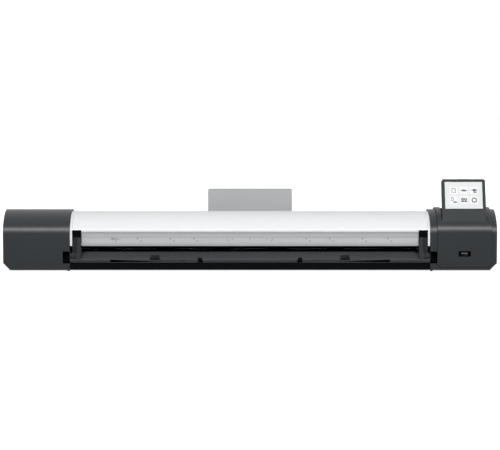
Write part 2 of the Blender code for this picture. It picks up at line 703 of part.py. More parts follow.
def right_end_cover():
    """The right housing, opened at the front and top for the pod and at the back for the connectors."""
    cover = end_cover("right_end_cover", 1)
    above = HOUSING_TOP + POD_PROUD + OVERRUN
    opening = prism("pod_opening", pod_face_outline(GAP, POD_BOTTOM - GAP, above), "Y", -OVERRUN,
                    POD_BACK + GAP)
    margin = PANEL_OPENING_MARGIN
    window = box("connector_opening", (PANEL_LOW_X + margin, PANEL_LOW_X + PANEL_WIDTH - margin),
                 (DEPTH - HOUSING_WALL - OVERRUN, DEPTH + OVERRUN), (PANEL_OPENING_BOTTOM, PANEL_OPENING_TOP))
    return cut(cover, opening, window)


def base_pan():
    """Long sheet-metal channel with a ledge along its front."""
    outline = [(PAN_FRONT, 0.0), (PAN_FRONT, PAN_FRONT_TOP), (PAN_LEDGE, PAN_FRONT_TOP),
               (PAN_LEDGE, PAN_FRONT_TOP - PAN_WALL), (PAN_FRONT + PAN_WALL, PAN_FRONT_TOP - PAN_WALL),
               (PAN_FRONT + PAN_WALL, PAN_WALL), (PAN_BACK - PAN_WALL, PAN_WALL),
               (PAN_BACK - PAN_WALL, PAN_BACK_TOP), (PAN_BACK, PAN_BACK_TOP), (PAN_BACK, 0.0)]
    pan = prism("base_pan", outline, "X", -PAN_HALF, PAN_HALF, "near_black")
    for side, word in ((-1, "left"), (1, "right")):
        edge = side * (MOUTH_HALF - GAP)
        cut(pan, box(f"pan_back_{word}", (edge, side * (PAN_HALF + OVERRUN)),
                     (PAN_BACK - PAN_WALL - OVERRUN, PAN_BACK + OVERRUN), (PAN_WALL, PAN_BACK_TOP + OVERRUN)))
        cut(pan, box(f"pan_front_{word}", (side * (MOUTH_HALF + HOUSING_WALL), side * (PAN_HALF + OVERRUN)),
                     (PAN_FRONT - OVERRUN, PAN_LEDGE + OVERRUN), (PAN_WALL, PAN_FRONT_TOP + OVERRUN)))
    return pan


def side_plate(name, side):
    """Steel plate inside a housing that carries the rollers and the lid."""
    outline = [(y, z) for y, z in housing_outline(SIDE_PLATE_INSET, FLOOR_Z)]
    plate = prism(name, outline, "X", side * SIDE_PLATE_INNER, side * SIDE_PLATE_OUTER, "steel")
    low, high = side * (SIDE_PLATE_INNER - OVERRUN), side * (SIDE_PLATE_OUTER + OVERRUN)
    relief = box(name + "_relief", (low, high), (-OVERRUN, SIDE_PLATE_FRONT), (-OVERRUN, NOTCH_TOP + OVERRUN))
    seat = SHAFT_RADIUS + 2 * GAP + BUSH_WALL
    holes = [rod(f"{name}_bush_{word}", "X", (y, ROLLER_Z), seat, low, high, ROUND_SIDES)
             for word, y in (("front", FRONT_ROLLER_Y), ("rear", REAR_ROLLER_Y))]
    pin = rod(name + "_pin", "X", (HINGE_Y, HINGE_Z), HINGE_PIN_RADIUS + GAP, low, high, SMALL_SIDES)
    return cut(plate, relief, *holes, pin)


def document_tray():
    """Sloped table under the mouth, with pockets in its front lip for the fold-out supports."""
    path = [(0.0, TRAY_LIP_BOTTOM), (0.0, TRAY_LIP_TOP), (TRAY_BACK, TRAY_BACK_TOP)]
    tray = prism("document_tray", thicken(path, TRAY_WALL), "X", -TRAY_HALF, TRAY_HALF, "tray_grey")
    for side, word in ((-1, "left"), (1, "right")):
        tab = box(f"tray_tab_{word}", (side * (TRAY_HALF - TAB_WALL), side * (TRAY_HALF + TAB_REACH)),
                  (TAB_FRONT, TAB_FRONT + TAB_DEPTH), (TAB_BOTTOM, TAB_BOTTOM + TAB_WALL))
        gusset = box(f"tray_gusset_{word}", (side * (TRAY_HALF - TAB_WALL), side * TRAY_HALF),
                     (TAB_FRONT, TAB_FRONT + TAB_DEPTH), (TAB_BOTTOM, TRAY_LIP_TOP))
        keeper_x = side * lever_centre()
        keeper = box(f"tray_keeper_{word}", (keeper_x - 0.5 * KEEPER_WIDTH, keeper_x + 0.5 * KEEPER_WIDTH),
                     (LEVER_NOSE_Y + RUNNING_GAP, LEVER_NOSE_Y + RUNNING_GAP + KEEPER_DEPTH),
                     (tray_top(LEVER_NOSE_Y) - 0.5 * TRAY_WALL, KEEPER_TOP))
        fuse(tray, tab, gusset, keeper)
        near = side * (SUPPORT_PIVOT_X - SUPPORT_RADIUS - 2 * RUNNING_GAP)
        far = side * (SUPPORT_END_X + RUNNING_GAP)
        slot_depth = SUPPORT_PIVOT_Y + SUPPORT_RADIUS + RUNNING_GAP
        sink = box(f"tray_sink_{word}", (near, far), (-OVERRUN, slot_depth),
                   (TRAY_LIP_BOTTOM - OVERRUN, TRAY_LIP_BOTTOM + SUPPORT_THICK + RUNNING_GAP))
        start, end = FINGER_NOTCH_X, FINGER_NOTCH_X + FINGER_NOTCH_WIDTH
        finger = prism(f"finger_notch_{word}",
                       [(side * start, -OVERRUN), (side * end, -OVERRUN),
                        (side * (end - FINGER_NOTCH_TAPER), FINGER_NOTCH_DEPTH),
                        (side * (start + FINGER_NOTCH_TAPER), FINGER_NOTCH_DEPTH)],
                       "Z", TRAY_LIP_BOTTOM, PAPER_Z)
        cut(tray, sink, finger)
        pin = rod(f"tray_pin_{word}", "Z", (side * SUPPORT_PIVOT_X, SUPPORT_PIVOT_Y), SUPPORT_PIN_RADIUS,
                  TRAY_LIP_BOTTOM, tray_top(SUPPORT_PIVOT_Y) - 0.5 * TRAY_WALL, SMALL_SIDES)
        fuse(tray, pin)
    return tray


def tray_top(y):
    """Height of the tray's sloped top at a distance from the front."""
    return TRAY_LIP_TOP + (TRAY_BACK_TOP - TRAY_LIP_TOP) * y / TRAY_BACK


def document_support(name, side):
    """Flat bar that swings out of the tray's front on an upright pin."""
    low = TRAY_LIP_BOTTOM
    top = low + SUPPORT_THICK
    beyond = side * (SUPPORT_END_X + OVERRUN)
    pivot = (side * SUPPORT_PIVOT_X, SUPPORT_PIVOT_Y)
    bar = box(name, (pivot[0], side * SUPPORT_END_X),
              (SUPPORT_PIVOT_Y - SUPPORT_RADIUS, SUPPORT_PIVOT_Y + SUPPORT_RADIUS), (low, top), "tray_grey")
    end = rod(name + "_end", "Z", pivot, SUPPORT_RADIUS, low, top, ROUND_SIDES)
    taper = prism(name + "_taper",
                  [(side * SUPPORT_TAPER_X, top), (beyond, low + SUPPORT_THIN), (beyond, top + OVERRUN),
                   (side * SUPPORT_TAPER_X, top + OVERRUN)],
                  "Y", -OVERRUN, PAN_LEDGE + OVERRUN)
    hole = rod(name + "_hole", "Z", pivot, SUPPORT_PIN_RADIUS + GAP, low - OVERRUN, top + OVERRUN,
               SMALL_SIDES)
    fuse(bar, end)
    return cut(bar, taper, hole)


def lever_centre():
    return LID_HALF - 0.5 * LEVER_WIDTH


def entry_upright(name, side):
    """S-shaped upright at one end of the mouth, seen from the front, standing on the tray."""
    inner, outer = UPRIGHT_INNER, UPRIGHT_OUTER
    waist, foot = UPRIGHT_WAIST_Z, UPRIGHT_FOOT_Z
    outline = [(side * inner, UPRIGHT_TOP), (side * inner, waist)]
    for step in range(1, UPRIGHT_STEPS + 1):
        turn = 0.5 * pi * step / UPRIGHT_STEPS
        across = inner + UPRIGHT_FOOT_SHIFT * (1 - cos(turn))
        outline.append((side * across, waist - (waist - foot) * sin(turn)))
    for step in range(1, 2 * UPRIGHT_STEPS):
        share = step / (2 * UPRIGHT_STEPS)
        across = outer + UPRIGHT_BULGE * sin(pi * share) ** UPRIGHT_FULLNESS
        outline.append((side * across, foot + (waist - foot) * share))
    outline += [(side * outer, waist + RUNNING_GAP), (side * outer, UPRIGHT_TOP)]
    upright = prism(name, outline, "Y", UPRIGHT_FRONT, UPRIGHT_FRONT + UPRIGHT_DEPTH, "tray_grey")
    lift = GAP * hypot(TRAY_BACK, TRAY_BACK_TOP - TRAY_LIP_TOP) / TRAY_BACK
    under = [(-OVERRUN, tray_top(-OVERRUN) + lift), (TRAY_BACK, TRAY_BACK_TOP + lift), (TRAY_BACK, 0.0),
             (-OVERRUN, 0.0)]
    seat = prism(name + "_seat", under, "X", side * (inner - OVERRUN), side * (MOUTH_HALF + OVERRUN))
    return cut(upright, seat)


def glass_rail(name, edge, toward):
    """Rail with a ledge under one long edge of the glass; toward is +1 when the glass lies behind it."""
    shelf = edge + toward * (RAIL_WALL + GAP + RAIL_LEDGE)
    wall = edge + toward * RAIL_WALL
    ledge_top = PAPER_Z - GLASS_WALL - GAP
    outline = [(edge, RAIL_TOP - RAIL_HEIGHT), (edge, RAIL_TOP), (wall, RAIL_TOP), (wall, ledge_top),
               (shelf, ledge_top), (shelf, ledge_top - RAIL_SHELF), (wall, ledge_top - RAIL_SHELF),
               (wall, RAIL_TOP - RAIL_HEIGHT)]
    half = SIDE_PLATE_INNER - GAP
    return prism(name, outline, "X", -half, half, "near_black")


def scan_bed():
    """Glass, its rails, the sensor carrier and three staggered line sensors."""
    glass_rail("glass_rail_front", RAIL_FRONT, 1)
    glass_rail("glass_rail_rear", RAIL_BACK, -1)
    box("scan_glass", (-GLASS_HALF, GLASS_HALF), (GLASS_FRONT, GLASS_BACK), (PAPER_Z - GLASS_WALL, PAPER_Z),
        "glass")
    tray_low = FLOOR_Z
    path = [(CARRIER_FRONT, tray_low + CARRIER_HEIGHT), (CARRIER_FRONT, tray_low), (CARRIER_BACK, tray_low),
            (CARRIER_BACK, tray_low + CARRIER_HEIGHT)]
    prism("sensor_carrier", thicken(path[::-1], CARRIER_WALL), "X", -GLASS_HALF, GLASS_HALF, "steel")
    bottom = tray_low + CARRIER_WALL + GAP
    top = PAPER_Z - GLASS_WALL - GAP
    front_row = CARRIER_FRONT + CARRIER_WALL + GAP
    rear_row = CARRIER_BACK - CARRIER_WALL - GAP - SENSOR_DEPTH
    shift = SENSOR_LENGTH - SENSOR_OVERLAP
    half = 0.5 * SENSOR_LENGTH
    reach = half - SENSOR_WINDOW_END
    rows = (("left", -shift, front_row), ("centre", 0.0, rear_row), ("right", shift, front_row))
    for word, centre, front in rows:
        sensor = box(f"image_sensor_{word}", (centre - half, centre + half), (front, front + SENSOR_DEPTH),
                     (bottom, top), "near_black")
        middle = front + 0.5 * SENSOR_DEPTH
        cut(sensor, box(f"sensor_window_{word}", (centre - reach, centre + reach),
                        (middle - 0.5 * SENSOR_WINDOW, middle + 0.5 * SENSOR_WINDOW),
                        (top - SENSOR_WINDOW_DEPTH, top + OVERRUN)))


def drive_roller(word, y):
    """Shaft with its rubber cover and pulley."""
    centre = (y, ROLLER_Z)
    left_end = -(PULLEY_X + PULLEY_WIDTH + 2 * PULLEY_FLANGE_WALL + SHAFT_STUB)
    right_end = SIDE_PLATE_OUTER + BUSH_FLANGE_WALL + SHAFT_STUB
    rod(f"{word}_roller_shaft", "X", centre, SHAFT_RADIUS, left_end, right_end, ROUND_SIDES, "steel")
    rod(f"{word}_roller_cover", "X", centre, ROLLER_RADIUS - GAP, -GLASS_HALF, GLASS_HALF, ROUND_SIDES,
        "rubber", bore=SHAFT_RADIUS + GAP)
    pulley(f"{word}_roller_pulley", centre, PULLEY_RADIUS, SHAFT_RADIUS + GAP)


def pulley(name, centre, radius, bore):
    """Flanged belt pulley on the left side."""
    start = -PULLEY_X
    groove = start - PULLEY_FLANGE_WALL
    end = groove - PULLEY_WIDTH
    rim = radius + PULLEY_FLANGE
    stations = [(start, rim), (groove, rim), (groove, radius), (end, radius), (end, rim),
                (end - PULLEY_FLANGE_WALL, rim)]
    return turned(name, stations, "X", centre, ROUND_SIDES, "steel", bore)


def bearing_block(name, side):
    """Brass bar on the side plate, with a bush through the plate for each roller shaft."""
    face = side * (SIDE_PLATE_OUTER + GAP)
    end = side * (SIDE_PLATE_OUTER + GAP + BUSH_FLANGE_WALL)
    body = SHAFT_RADIUS + GAP + BUSH_WALL
    rim = body + BUSH_FLANGE
    block = box(name, (face, end), (FRONT_ROLLER_Y, REAR_ROLLER_Y), (ROLLER_Z - body, ROLLER_Z + body),
                "brass")
    for word, y in (("front", FRONT_ROLLER_Y), ("rear", REAR_ROLLER_Y)):
        centre = (y, ROLLER_Z)
        fuse(block, rod(f"{name}_{word}_flange", "X", centre, rim, face, end, ROUND_SIDES))
        fuse(block, rod(f"{name}_{word}_bush", "X", centre, body, side * SIDE_PLATE_INNER,
                        side * (SIDE_PLATE_OUTER + 2 * GAP), ROUND_SIDES))
    for word, y in (("front", FRONT_ROLLER_Y), ("rear", REAR_ROLLER_Y)):
        cut(block, rod(f"{name}_{word}_bore", "X", (y, ROLLER_Z), SHAFT_RADIUS + GAP,
                       side * (SIDE_PLATE_INNER - OVERRUN), side * (SIDE_PLATE_OUTER + OVERRUN), ROUND_SIDES))
    return block


def hull(points):
    """Convex outline round a set of points, for the belt."""
    points = sorted(set(points))
    chains = []
    for ordered in (points, points[::-1]):
        chain = []
        for point in ordered:
            while len(chain) > 1 and ((chain[-1][0] - chain[-2][0]) * (point[1] - chain[-2][1])
                                      - (chain[-1][1] - chain[-2][1]) * (point[0] - chain[-2][0])) <= 0:
                chain.pop()
            chain.append(point)
        chains += chain[:-1]
    return chains


def belt_outline(lift):
    """Outline round the three pulleys at a distance from their grooves."""
    points = []
    for y, z, radius in ((FRONT_ROLLER_Y, ROLLER_Z, PULLEY_RADIUS), (REAR_ROLLER_Y, ROLLER_Z, PULLEY_RADIUS),
                         (MOTOR_Y, MOTOR_Z, MOTOR_PULLEY_RADIUS)):
        points += arc((y, z), radius + lift, 0.0, 2 * pi, ROUND_SIDES)[:-1]
    return hull(points)


def drive_train():
    """Motor on its bracket, motor pulley and toothed belt."""
    start = -(PULLEY_X + PULLEY_FLANGE_WALL + 0.5 * (PULLEY_WIDTH - BELT_WIDTH))
    belt = prism("drive_belt", belt_outline(BELT_LIFT + BELT_WALL), "X", start - BELT_WIDTH, start, "rubber")
    inside = belt_outline(BELT_LIFT)
    cut(belt, prism("belt_inside", inside, "X", start - BELT_WIDTH - OVERRUN, start + OVERRUN))
    bracket_x = -(PULLEY_X + PULLEY_WIDTH + 2 * PULLEY_FLANGE_WALL + SHAFT_STUB + 2 * RUNNING_GAP)
    motor_x = bracket_x - BRACKET_WALL - GAP
    half = 0.5 * MOTOR_SIZE
    outline = [(MOTOR_Y - half, MOTOR_Z - half), (MOTOR_Y + half, MOTOR_Z - half),
               (MOTOR_Y + half, MOTOR_Z + half), (MOTOR_Y - half, MOTOR_Z + half)]
    for corner in (3, 2, 1, 0):
        outline = soften(outline, corner, MOTOR_CORNER, 1)
    prism("drive_motor", outline, "X", motor_x - MOTOR_LENGTH, motor_x, "near_black")
    wide = half + BRACKET_MARGIN
    path = [(bracket_x, MOTOR_Z + wide), (bracket_x, FLOOR_Z), (bracket_x - BRACKET_FOOT, FLOOR_Z)]
    bracket = prism("motor_bracket", thicken(path, BRACKET_WALL), "Y", MOTOR_Y - wide, MOTOR_Y + wide,
                    "steel")
    cut(bracket, rod("bracket_hole", "X", (MOTOR_Y, MOTOR_Z), BRACKET_HOLE,
                     bracket_x - BRACKET_WALL - OVERRUN, bracket_x + OVERRUN, ROUND_SIDES))
    motor_pulley = pulley("motor_pulley", (MOTOR_Y, MOTOR_Z), MOTOR_PULLEY_RADIUS, MOTOR_SHAFT_RADIUS)
    shaft = rod("motor_shaft", "X", (MOTOR_Y, MOTOR_Z), MOTOR_SHAFT_RADIUS + GAP, motor_x + GAP,
                -(PULLEY_X - RUNNING_GAP), SMALL_SIDES)
    fuse(motor_pulley, shaft)


def lid_path():
    """The lid cover's outer path, from its front edge over the nose and the top to the hinge barrel."""
    centre = (APEX_Y, HOUSING_TOP - FRONT_ROLL_RADIUS)
    roll = FRONT_ROLL_RADIUS - LID_INSET
    nose = acos(sqrt(1 - ((APEX_Y - LID_INSET) / roll) ** 2))
    top = arc(centre, roll, -nose, 0.0, FRONT_ROLL_STEPS)
    back = arc((APEX_Y, BACK_ROLL_Z), LID_ROLL, 0.0, HINGE_ANGLE, BACK_ROLL_STEPS)
    return [(LID_NOSE_UNDER_Y, LID_BOTTOM), (LID_NOSE_UNDER_Y, LID_NOSE_UNDER_Z)] + top + back[1:]


def lid_cover():
    """White shell with a round hinge barrel along its rear edge."""
    outline = thicken(lid_path(), LID_WALL)
    middle = len(outline) // 2
    side_angle = acos((BARREL_RADIUS - LID_WALL) / BARREL_RADIUS)
    last = HINGE_ANGLE + 2 * pi - side_angle
    barrel = arc((HINGE_Y, HINGE_Z), BARREL_RADIUS, HINGE_ANGLE, last, BARREL_STEPS)
    outline = outline[:middle] + barrel[1:] + outline[middle + 1:]
    cover = prism("lid_cover", outline, "X", -LID_HALF, LID_HALF, "lid_white")
    for side, word in ((-1, "left"), (1, "right")):
        notch = box(f"cap_notch_{word}", (side * (STRIP_HALF - GAP), side * (LID_HALF + OVERRUN)),
                    (0.0, CAP_FRONT + CAP_DEPTH + LEVER_BOSS), (LID_BOTTOM - OVERRUN, CAP_TOP + LEVER_RISE))
        hole = rod(f"barrel_hole_{word}", "X", (HINGE_Y, HINGE_Z), HINGE_PIN_RADIUS + GAP,
                   side * (LID_HALF - HINGE_PIN_RADIUS * 2), side * (LID_HALF + OVERRUN), SMALL_SIDES)
        cut(cover, notch, hole)
    return cover


def lid_cheek(name, side):
    """White end wall of the lid, with ears that carry the idler rollers and a pin for the lever."""
    top = lid_path()[2:]
    round_end = arc((HINGE_Y, HINGE_Z), BARREL_RADIUS, HINGE_ANGLE, pi, BARREL_STEPS // 2)[1:]
    foot = IDLER_Z - EAR_DROP
    outline = [(LID_INSET, CHEEK_BOTTOM)] + top + round_end
    for y in (REAR_ROLLER_Y, FRONT_ROLLER_Y):
        outline += [(y + EAR_HALF, CHEEK_BOTTOM), (y + EAR_HALF, foot), (y - EAR_HALF, foot),
                    (y - EAR_HALF, CHEEK_BOTTOM)]
    inner, outer = side * CHEEK_INNER, side * CHEEK_OUTER
    cheek = prism(name, outline, "X", inner, outer, "lid_white")
    pin = rod(name + "_lever_pin", "X", (LEVER_PIVOT_Y, LEVER_PIVOT_Z), LEVER_PIVOT_RADIUS,
              side * (lever_centre() - 0.5 * LEVER_WEB), side * (CHEEK_INNER + 0.5 * CHEEK_WALL), SMALL_SIDES)
    fuse(cheek, pin)
    low, high = inner - side * OVERRUN, outer + side * OVERRUN
    hinge_bore, idler_bore = HINGE_PIN_RADIUS + GAP, IDLER_SHAFT_RADIUS + GAP
    cut(cheek, rod(name + "_pin_hole", "X", (HINGE_Y, HINGE_Z), hinge_bore, low, high, SMALL_SIDES))
    for word, y in (("front", FRONT_ROLLER_Y), ("rear", REAR_ROLLER_Y)):
        cut(cheek, rod(f"{name}_{word}_hole", "X", (y, IDLER_Z), idler_bore, low, high, SMALL_SIDES))
    return cheek


def idler_roller(word, y):
    """Thin shaft with wheels along it, turned as one piece."""
    end = CHEEK_OUTER - GAP
    half = 0.5 * IDLER_WHEEL_LENGTH
    stations = [(-end, IDLER_SHAFT_RADIUS)]
    for number in range(IDLER_WHEELS):
        centre = GLASS_HALF * (2 * number + 1 - IDLER_WHEELS) / IDLER_WHEELS
        stations += [(centre - half, IDLER_SHAFT_RADIUS), (centre - half, IDLER_RADIUS),
                     (centre + half, IDLER_RADIUS), (centre + half, IDLER_SHAFT_RADIUS)]
    stations.append((end, IDLER_SHAFT_RADIUS))
    return turned(f"{word}_idler_roller", stations, "X", (y, IDLER_Z), SMALL_SIDES, "rubber")


def lid_inner():
    """Frame, upper paper guide, scale strip, sprung background plate and its leaf springs."""
    low = LID_FRAME_BOTTOM
    front, back = RAIL_FRONT, RAIL_BACK
    path = [(front, low + LID_FRAME_HEIGHT), (front, low), (back, low), (back, low + LID_FRAME_HEIGHT)]
    prism("lid_frame", thicken(path[::-1], LID_FRAME_WALL), "X", -LID_HALF, LID_HALF, "steel")
    guide_front = STRIP_FRONT + STRIP_WALL + GAP
    guide_back = FRONT_ROLLER_Y - IDLER_RADIUS - ROLLER_CLEARANCE
    guide_path = [(guide_back, GUIDE_DROP_END), (guide_front, STRIP_BOTTOM), (guide_front, STRIP_TOP)]
    guide = prism("upper_guide", thicken(guide_path, GUIDE_WALL), "X", -STRIP_HALF, STRIP_HALF, "near_black")
    lip = box("upper_guide_lip", (-LID_HALF, LID_HALF), (guide_back - GUIDE_LIP_DEPTH, guide_back),
              (GUIDE_DROP_END + GUIDE_WALL, GUIDE_DROP_END + 3 * GUIDE_WALL))
    fuse(guide, lip)
    box("scale_strip", (-STRIP_HALF, STRIP_HALF), (STRIP_FRONT, STRIP_FRONT + STRIP_WALL),
        (STRIP_BOTTOM, STRIP_TOP), "silver")
    plate_low = PAPER_Z + PLATE_RISE
    middle = 0.5 * (GLASS_FRONT + GLASS_BACK)
    plate_front, plate_back = middle - 0.5 * PLATE_DEPTH, middle + 0.5 * PLATE_DEPTH
    plate_path = [(plate_front, plate_low + PLATE_FLANGE), (plate_front, plate_low), (plate_back, plate_low),
                  (plate_back, plate_low + PLATE_FLANGE)]
    plate_outline = thicken(plate_path[::-1], PLATE_WALL)
    prism("background_plate", plate_outline, "X", -PLATE_HALF, PLATE_HALF, "white_plate")
    plate_spring(plate_low + PLATE_WALL + GAP, low - GAP, middle)


def plate_spring(bottom, top, middle):
    """Long leaf spring with four arches that presses the background plate down."""
    crown = top - SPRING_STRIP
    half = 0.5 * SPRING_SPAN
    path = [(-PLATE_HALF + SPRING_FOOT, bottom + SPRING_STRIP)]
    for share in SPRING_PLACE_SHARES:
        centre = share * PLATE_HALF
        for step in range(SPRING_STEPS + 1):
            turn = step / SPRING_STEPS
            rise = 0.5 * (1 - cos(2 * pi * turn)) * (crown - bottom)
            path.append((centre - half + SPRING_SPAN * turn, bottom + SPRING_STRIP + rise))
    path.append((PLATE_HALF - SPRING_FOOT, bottom + SPRING_STRIP))
    return prism("plate_spring", thicken(path, SPRING_STRIP), "Y", middle - 0.5 * SPRING_WIDTH,
                 middle + 0.5 * SPRING_WIDTH, "steel")


def release_lever(name, side):
    """Ribbed thumb cap on a short lever that pivots on the cheek's pin."""
    low, high = LID_HALF - LEVER_WIDTH, LID_HALF - GAP
    front, back = CAP_FRONT, CAP_FRONT + CAP_DEPTH
    pitch = (high - low) / CAP_RIBS
    outline = [(side * low, back)]
    for rib in range(CAP_RIBS):
        left = low + rib * pitch
        outline += [(side * left, front + RIB_DEPTH), (side * (left + RIB_START_SHARE * pitch), front),
                    (side * (left + pitch - RIB_START_SHARE * pitch), front)]
    outline += [(side * high, front + RIB_DEPTH), (side * high, back)]
    cap = prism(name, outline, "Z", CAP_BOTTOM, CAP_TOP, "near_black")
    centre = lever_centre()
    web = (side * (centre - 0.5 * LEVER_WEB), side * (centre + 0.5 * LEVER_WEB))
    pivot_y, pivot_z = LEVER_PIVOT_Y, LEVER_PIVOT_Z
    shoulder = CAP_TOP - LEVER_BOSS
    stem_outline = [(back - RIB_DEPTH, shoulder), (back + LEVER_BOSS, shoulder),
                    (pivot_y + LEVER_BOSS, pivot_z), (pivot_y - LEVER_BOSS, pivot_z),
                    (back - RIB_DEPTH, CAP_BOTTOM + RIB_DEPTH)]
    stem = prism(name + "_stem", stem_outline, "X", *web)
    boss = rod(name + "_boss", "X", (pivot_y, pivot_z), LEVER_BOSS, *web, ROUND_SIDES)
    shank_front, shank_back = pivot_y - 0.5 * LEVER_BOSS, pivot_y + 0.5 * LEVER_BOSS
    foot_top = LEVER_FOOT_Z + LEVER_FOOT_HEIGHT
    hook_outline = [(shank_front, pivot_z), (shank_back, pivot_z), (shank_back, foot_top),
                    (LEVER_NOSE_Y, foot_top), (LEVER_NOSE_Y, LEVER_FOOT_Z), (shank_front, LEVER_FOOT_Z)]
    hook = prism(name + "_hook", hook_outline, "X", *web)
    fuse(cap, stem, boss, hook)
    return cut(cap, rod(name + "_bore", "X", (pivot_y, pivot_z), LEVER_PIVOT_RADIUS + GAP,
                        web[0] - side * OVERRUN, web[1] + side * OVERRUN, SMALL_SIDES))


def rear_pieces():
    """Fixed rear cover, exit table and return guide."""
    barrel = BARREL_RADIUS + LID_SWING_GAP
    outer_turn = HINGE_ANGLE + acos(BARREL_RADIUS / barrel)
    inner_turn = HINGE_ANGLE + acos((BARREL_RADIUS - REAR_COVER_WALL) / barrel)
    edge = arc((HINGE_Y, HINGE_Z), barrel, outer_turn, inner_turn, CREASE_STEPS)
    start = HINGE_ANGLE + barrel * sin(acos(BARREL_RADIUS / barrel)) / LID_ROLL
    path = back_roll(LID_INSET, start)
    path.append((path[-1][0], BACK_CORNER_Z - REAR_COVER_SKIRT))
    outline = [point for point in thicken(path, REAR_COVER_WALL)
               if hypot(point[0] - HINGE_Y, point[1] - HINGE_Z) > barrel + GAP]
    outline = outline + edge[::-1]
    half = MOUTH_HALF - GAP
    prism("rear_cover", outline, "X", -half, half, "housing")
    front = REAR_ROLLER_Y + ROLLER_RADIUS + ROLLER_CLEARANCE
    box("exit_table", (-half, half), (front, PAN_BACK), (EXIT_TOP - EXIT_WALL, EXIT_TOP), "tray_grey")
    stand = RETURN_FRONT + RETURN_OFFSET
    path = [(RETURN_FRONT + RETURN_WALL, RETURN_FOOT_BOTTOM), (RETURN_FRONT + RETURN_WALL, RETURN_BEND_LOW),
            (stand + RETURN_WALL, RETURN_BEND_HIGH), (stand + RETURN_WALL, RETURN_TOP)]
    outline = thicken(path[::-1], RETURN_WALL)
    guide = prism("return_guide", outline, "X", -RETURN_HALF, RETURN_HALF, "guide_grey")
    above = RETURN_TOP + OVERRUN
    for side, word in ((-1, "left"), (1, "right")):
        edge = side * (RETURN_HALF + OVERRUN)
        corner = [(side * (RETURN_HALF - RETURN_CHAMFER), above), (edge, above),
                  (edge, RETURN_TOP - RETURN_CHAMFER - OVERRUN)]
        cut(guide, prism(f"return_corner_{word}", corner, "Y", stand - OVERRUN,
                         stand + RETURN_WALL + OVERRUN))


def display_unit(pivot):
    """Touch display in its frame; made upright about its hinge, then leaned back by its parent."""
    half = 0.5 * DISPLAY_WIDTH
    wall = DISPLAY_HALF_WALL
    side_outline = arc((0.0, 0.0), wall, pi / 2, 3 * pi / 2, BARREL_STEPS)
    side_outline += [(-wall, DISPLAY_LENGTH), (wall, DISPLAY_LENGTH)]
    frame = prism("display_bezel", side_outline, "X", -half, half, "housing")
    outline = [(-half - OVERRUN, -2 * wall), (half + OVERRUN, -2 * wall), (half, 0.0), (half, DISPLAY_LENGTH),
               (-half, DISPLAY_LENGTH), (-half, 0.0)]
    outline = soften(outline, 4, DISPLAY_CORNER, 3)
    outline = soften(outline, 3, DISPLAY_CORNER, 3)
    outline = [(x, z) for x, z in outline if z != 0.0]
    face = prism("display_face", outline, "Y", -2 * wall, 2 * wall)
    combine(frame, "INTERSECT", [face])
    tab = box("display_tab", (-DISPLAY_TAB_HALF, DISPLAY_TAB_HALF), (-0.5 * wall, 0.5 * wall),
              (DISPLAY_LENGTH - DISPLAY_TAB_HEIGHT, DISPLAY_LENGTH + DISPLAY_TAB_HEIGHT))
    fuse(frame, tab)
    screen_top = DISPLAY_LENGTH - SCREEN_TOP_BORDER
    screen_x = (-0.5 * SCREEN_WIDTH, 0.5 * SCREEN_WIDTH)
    sink = SCREEN_SINK
    glass = box("display_screen", screen_x, (sink - wall, sink + SCREEN_WALL - wall),
                (screen_top - SCREEN_HEIGHT, screen_top), "screen")
    seat = box("screen_seat", (screen_x[0] - GAP, screen_x[1] + GAP),
               (-wall - OVERRUN, sink + SCREEN_WALL + GAP - wall),
               (screen_top - SCREEN_HEIGHT - GAP, screen_top + GAP))
    bore = rod("display_bore", "X", (0.0, 0.0), DISPLAY_PIN_RADIUS + GAP, -half - OVERRUN, half + OVERRUN,
               SMALL_SIDES)
    cut(frame, seat, bore)
    for item in (frame, face, tab, glass, seat, bore):
        item.parent = pivot


def port(name, centre_x, width, height, depth, lip, cavity, finish):
    """A socket behind the connector panel whose nose passes through the panel."""
    half = 0.5 * width
    back = PANEL_BACK + PORT_PROUD
    inner_face = PANEL_BACK - PANEL_WALL - GAP
    body = box(name, (centre_x - half - PORT_SHOULDER, centre_x + half + PORT_SHOULDER),
               (back - depth, inner_face), (PORT_Z, PORT_Z + height + 2 * PORT_SHOULDER), finish)
    low = PORT_Z + PORT_SHOULDER
    nose = box(name + "_nose", (centre_x - half, centre_x + half), (inner_face - PORT_SHOULDER, back),
               (low, low + height))
    hollow = box(name + "_cavity", (centre_x - half + lip, centre_x + half - lip),
                 (back - cavity, back + OVERRUN), (low + lip, low + height - lip))
    fuse(body, nose)
    cut(body, hollow)
    hole = box(name + "_hole", (centre_x - half - GAP, centre_x + half + GAP),
               (PANEL_BACK - PANEL_WALL - OVERRUN, PANEL_BACK + OVERRUN), (low - GAP, low + height + GAP))
    return body, hole, low, back


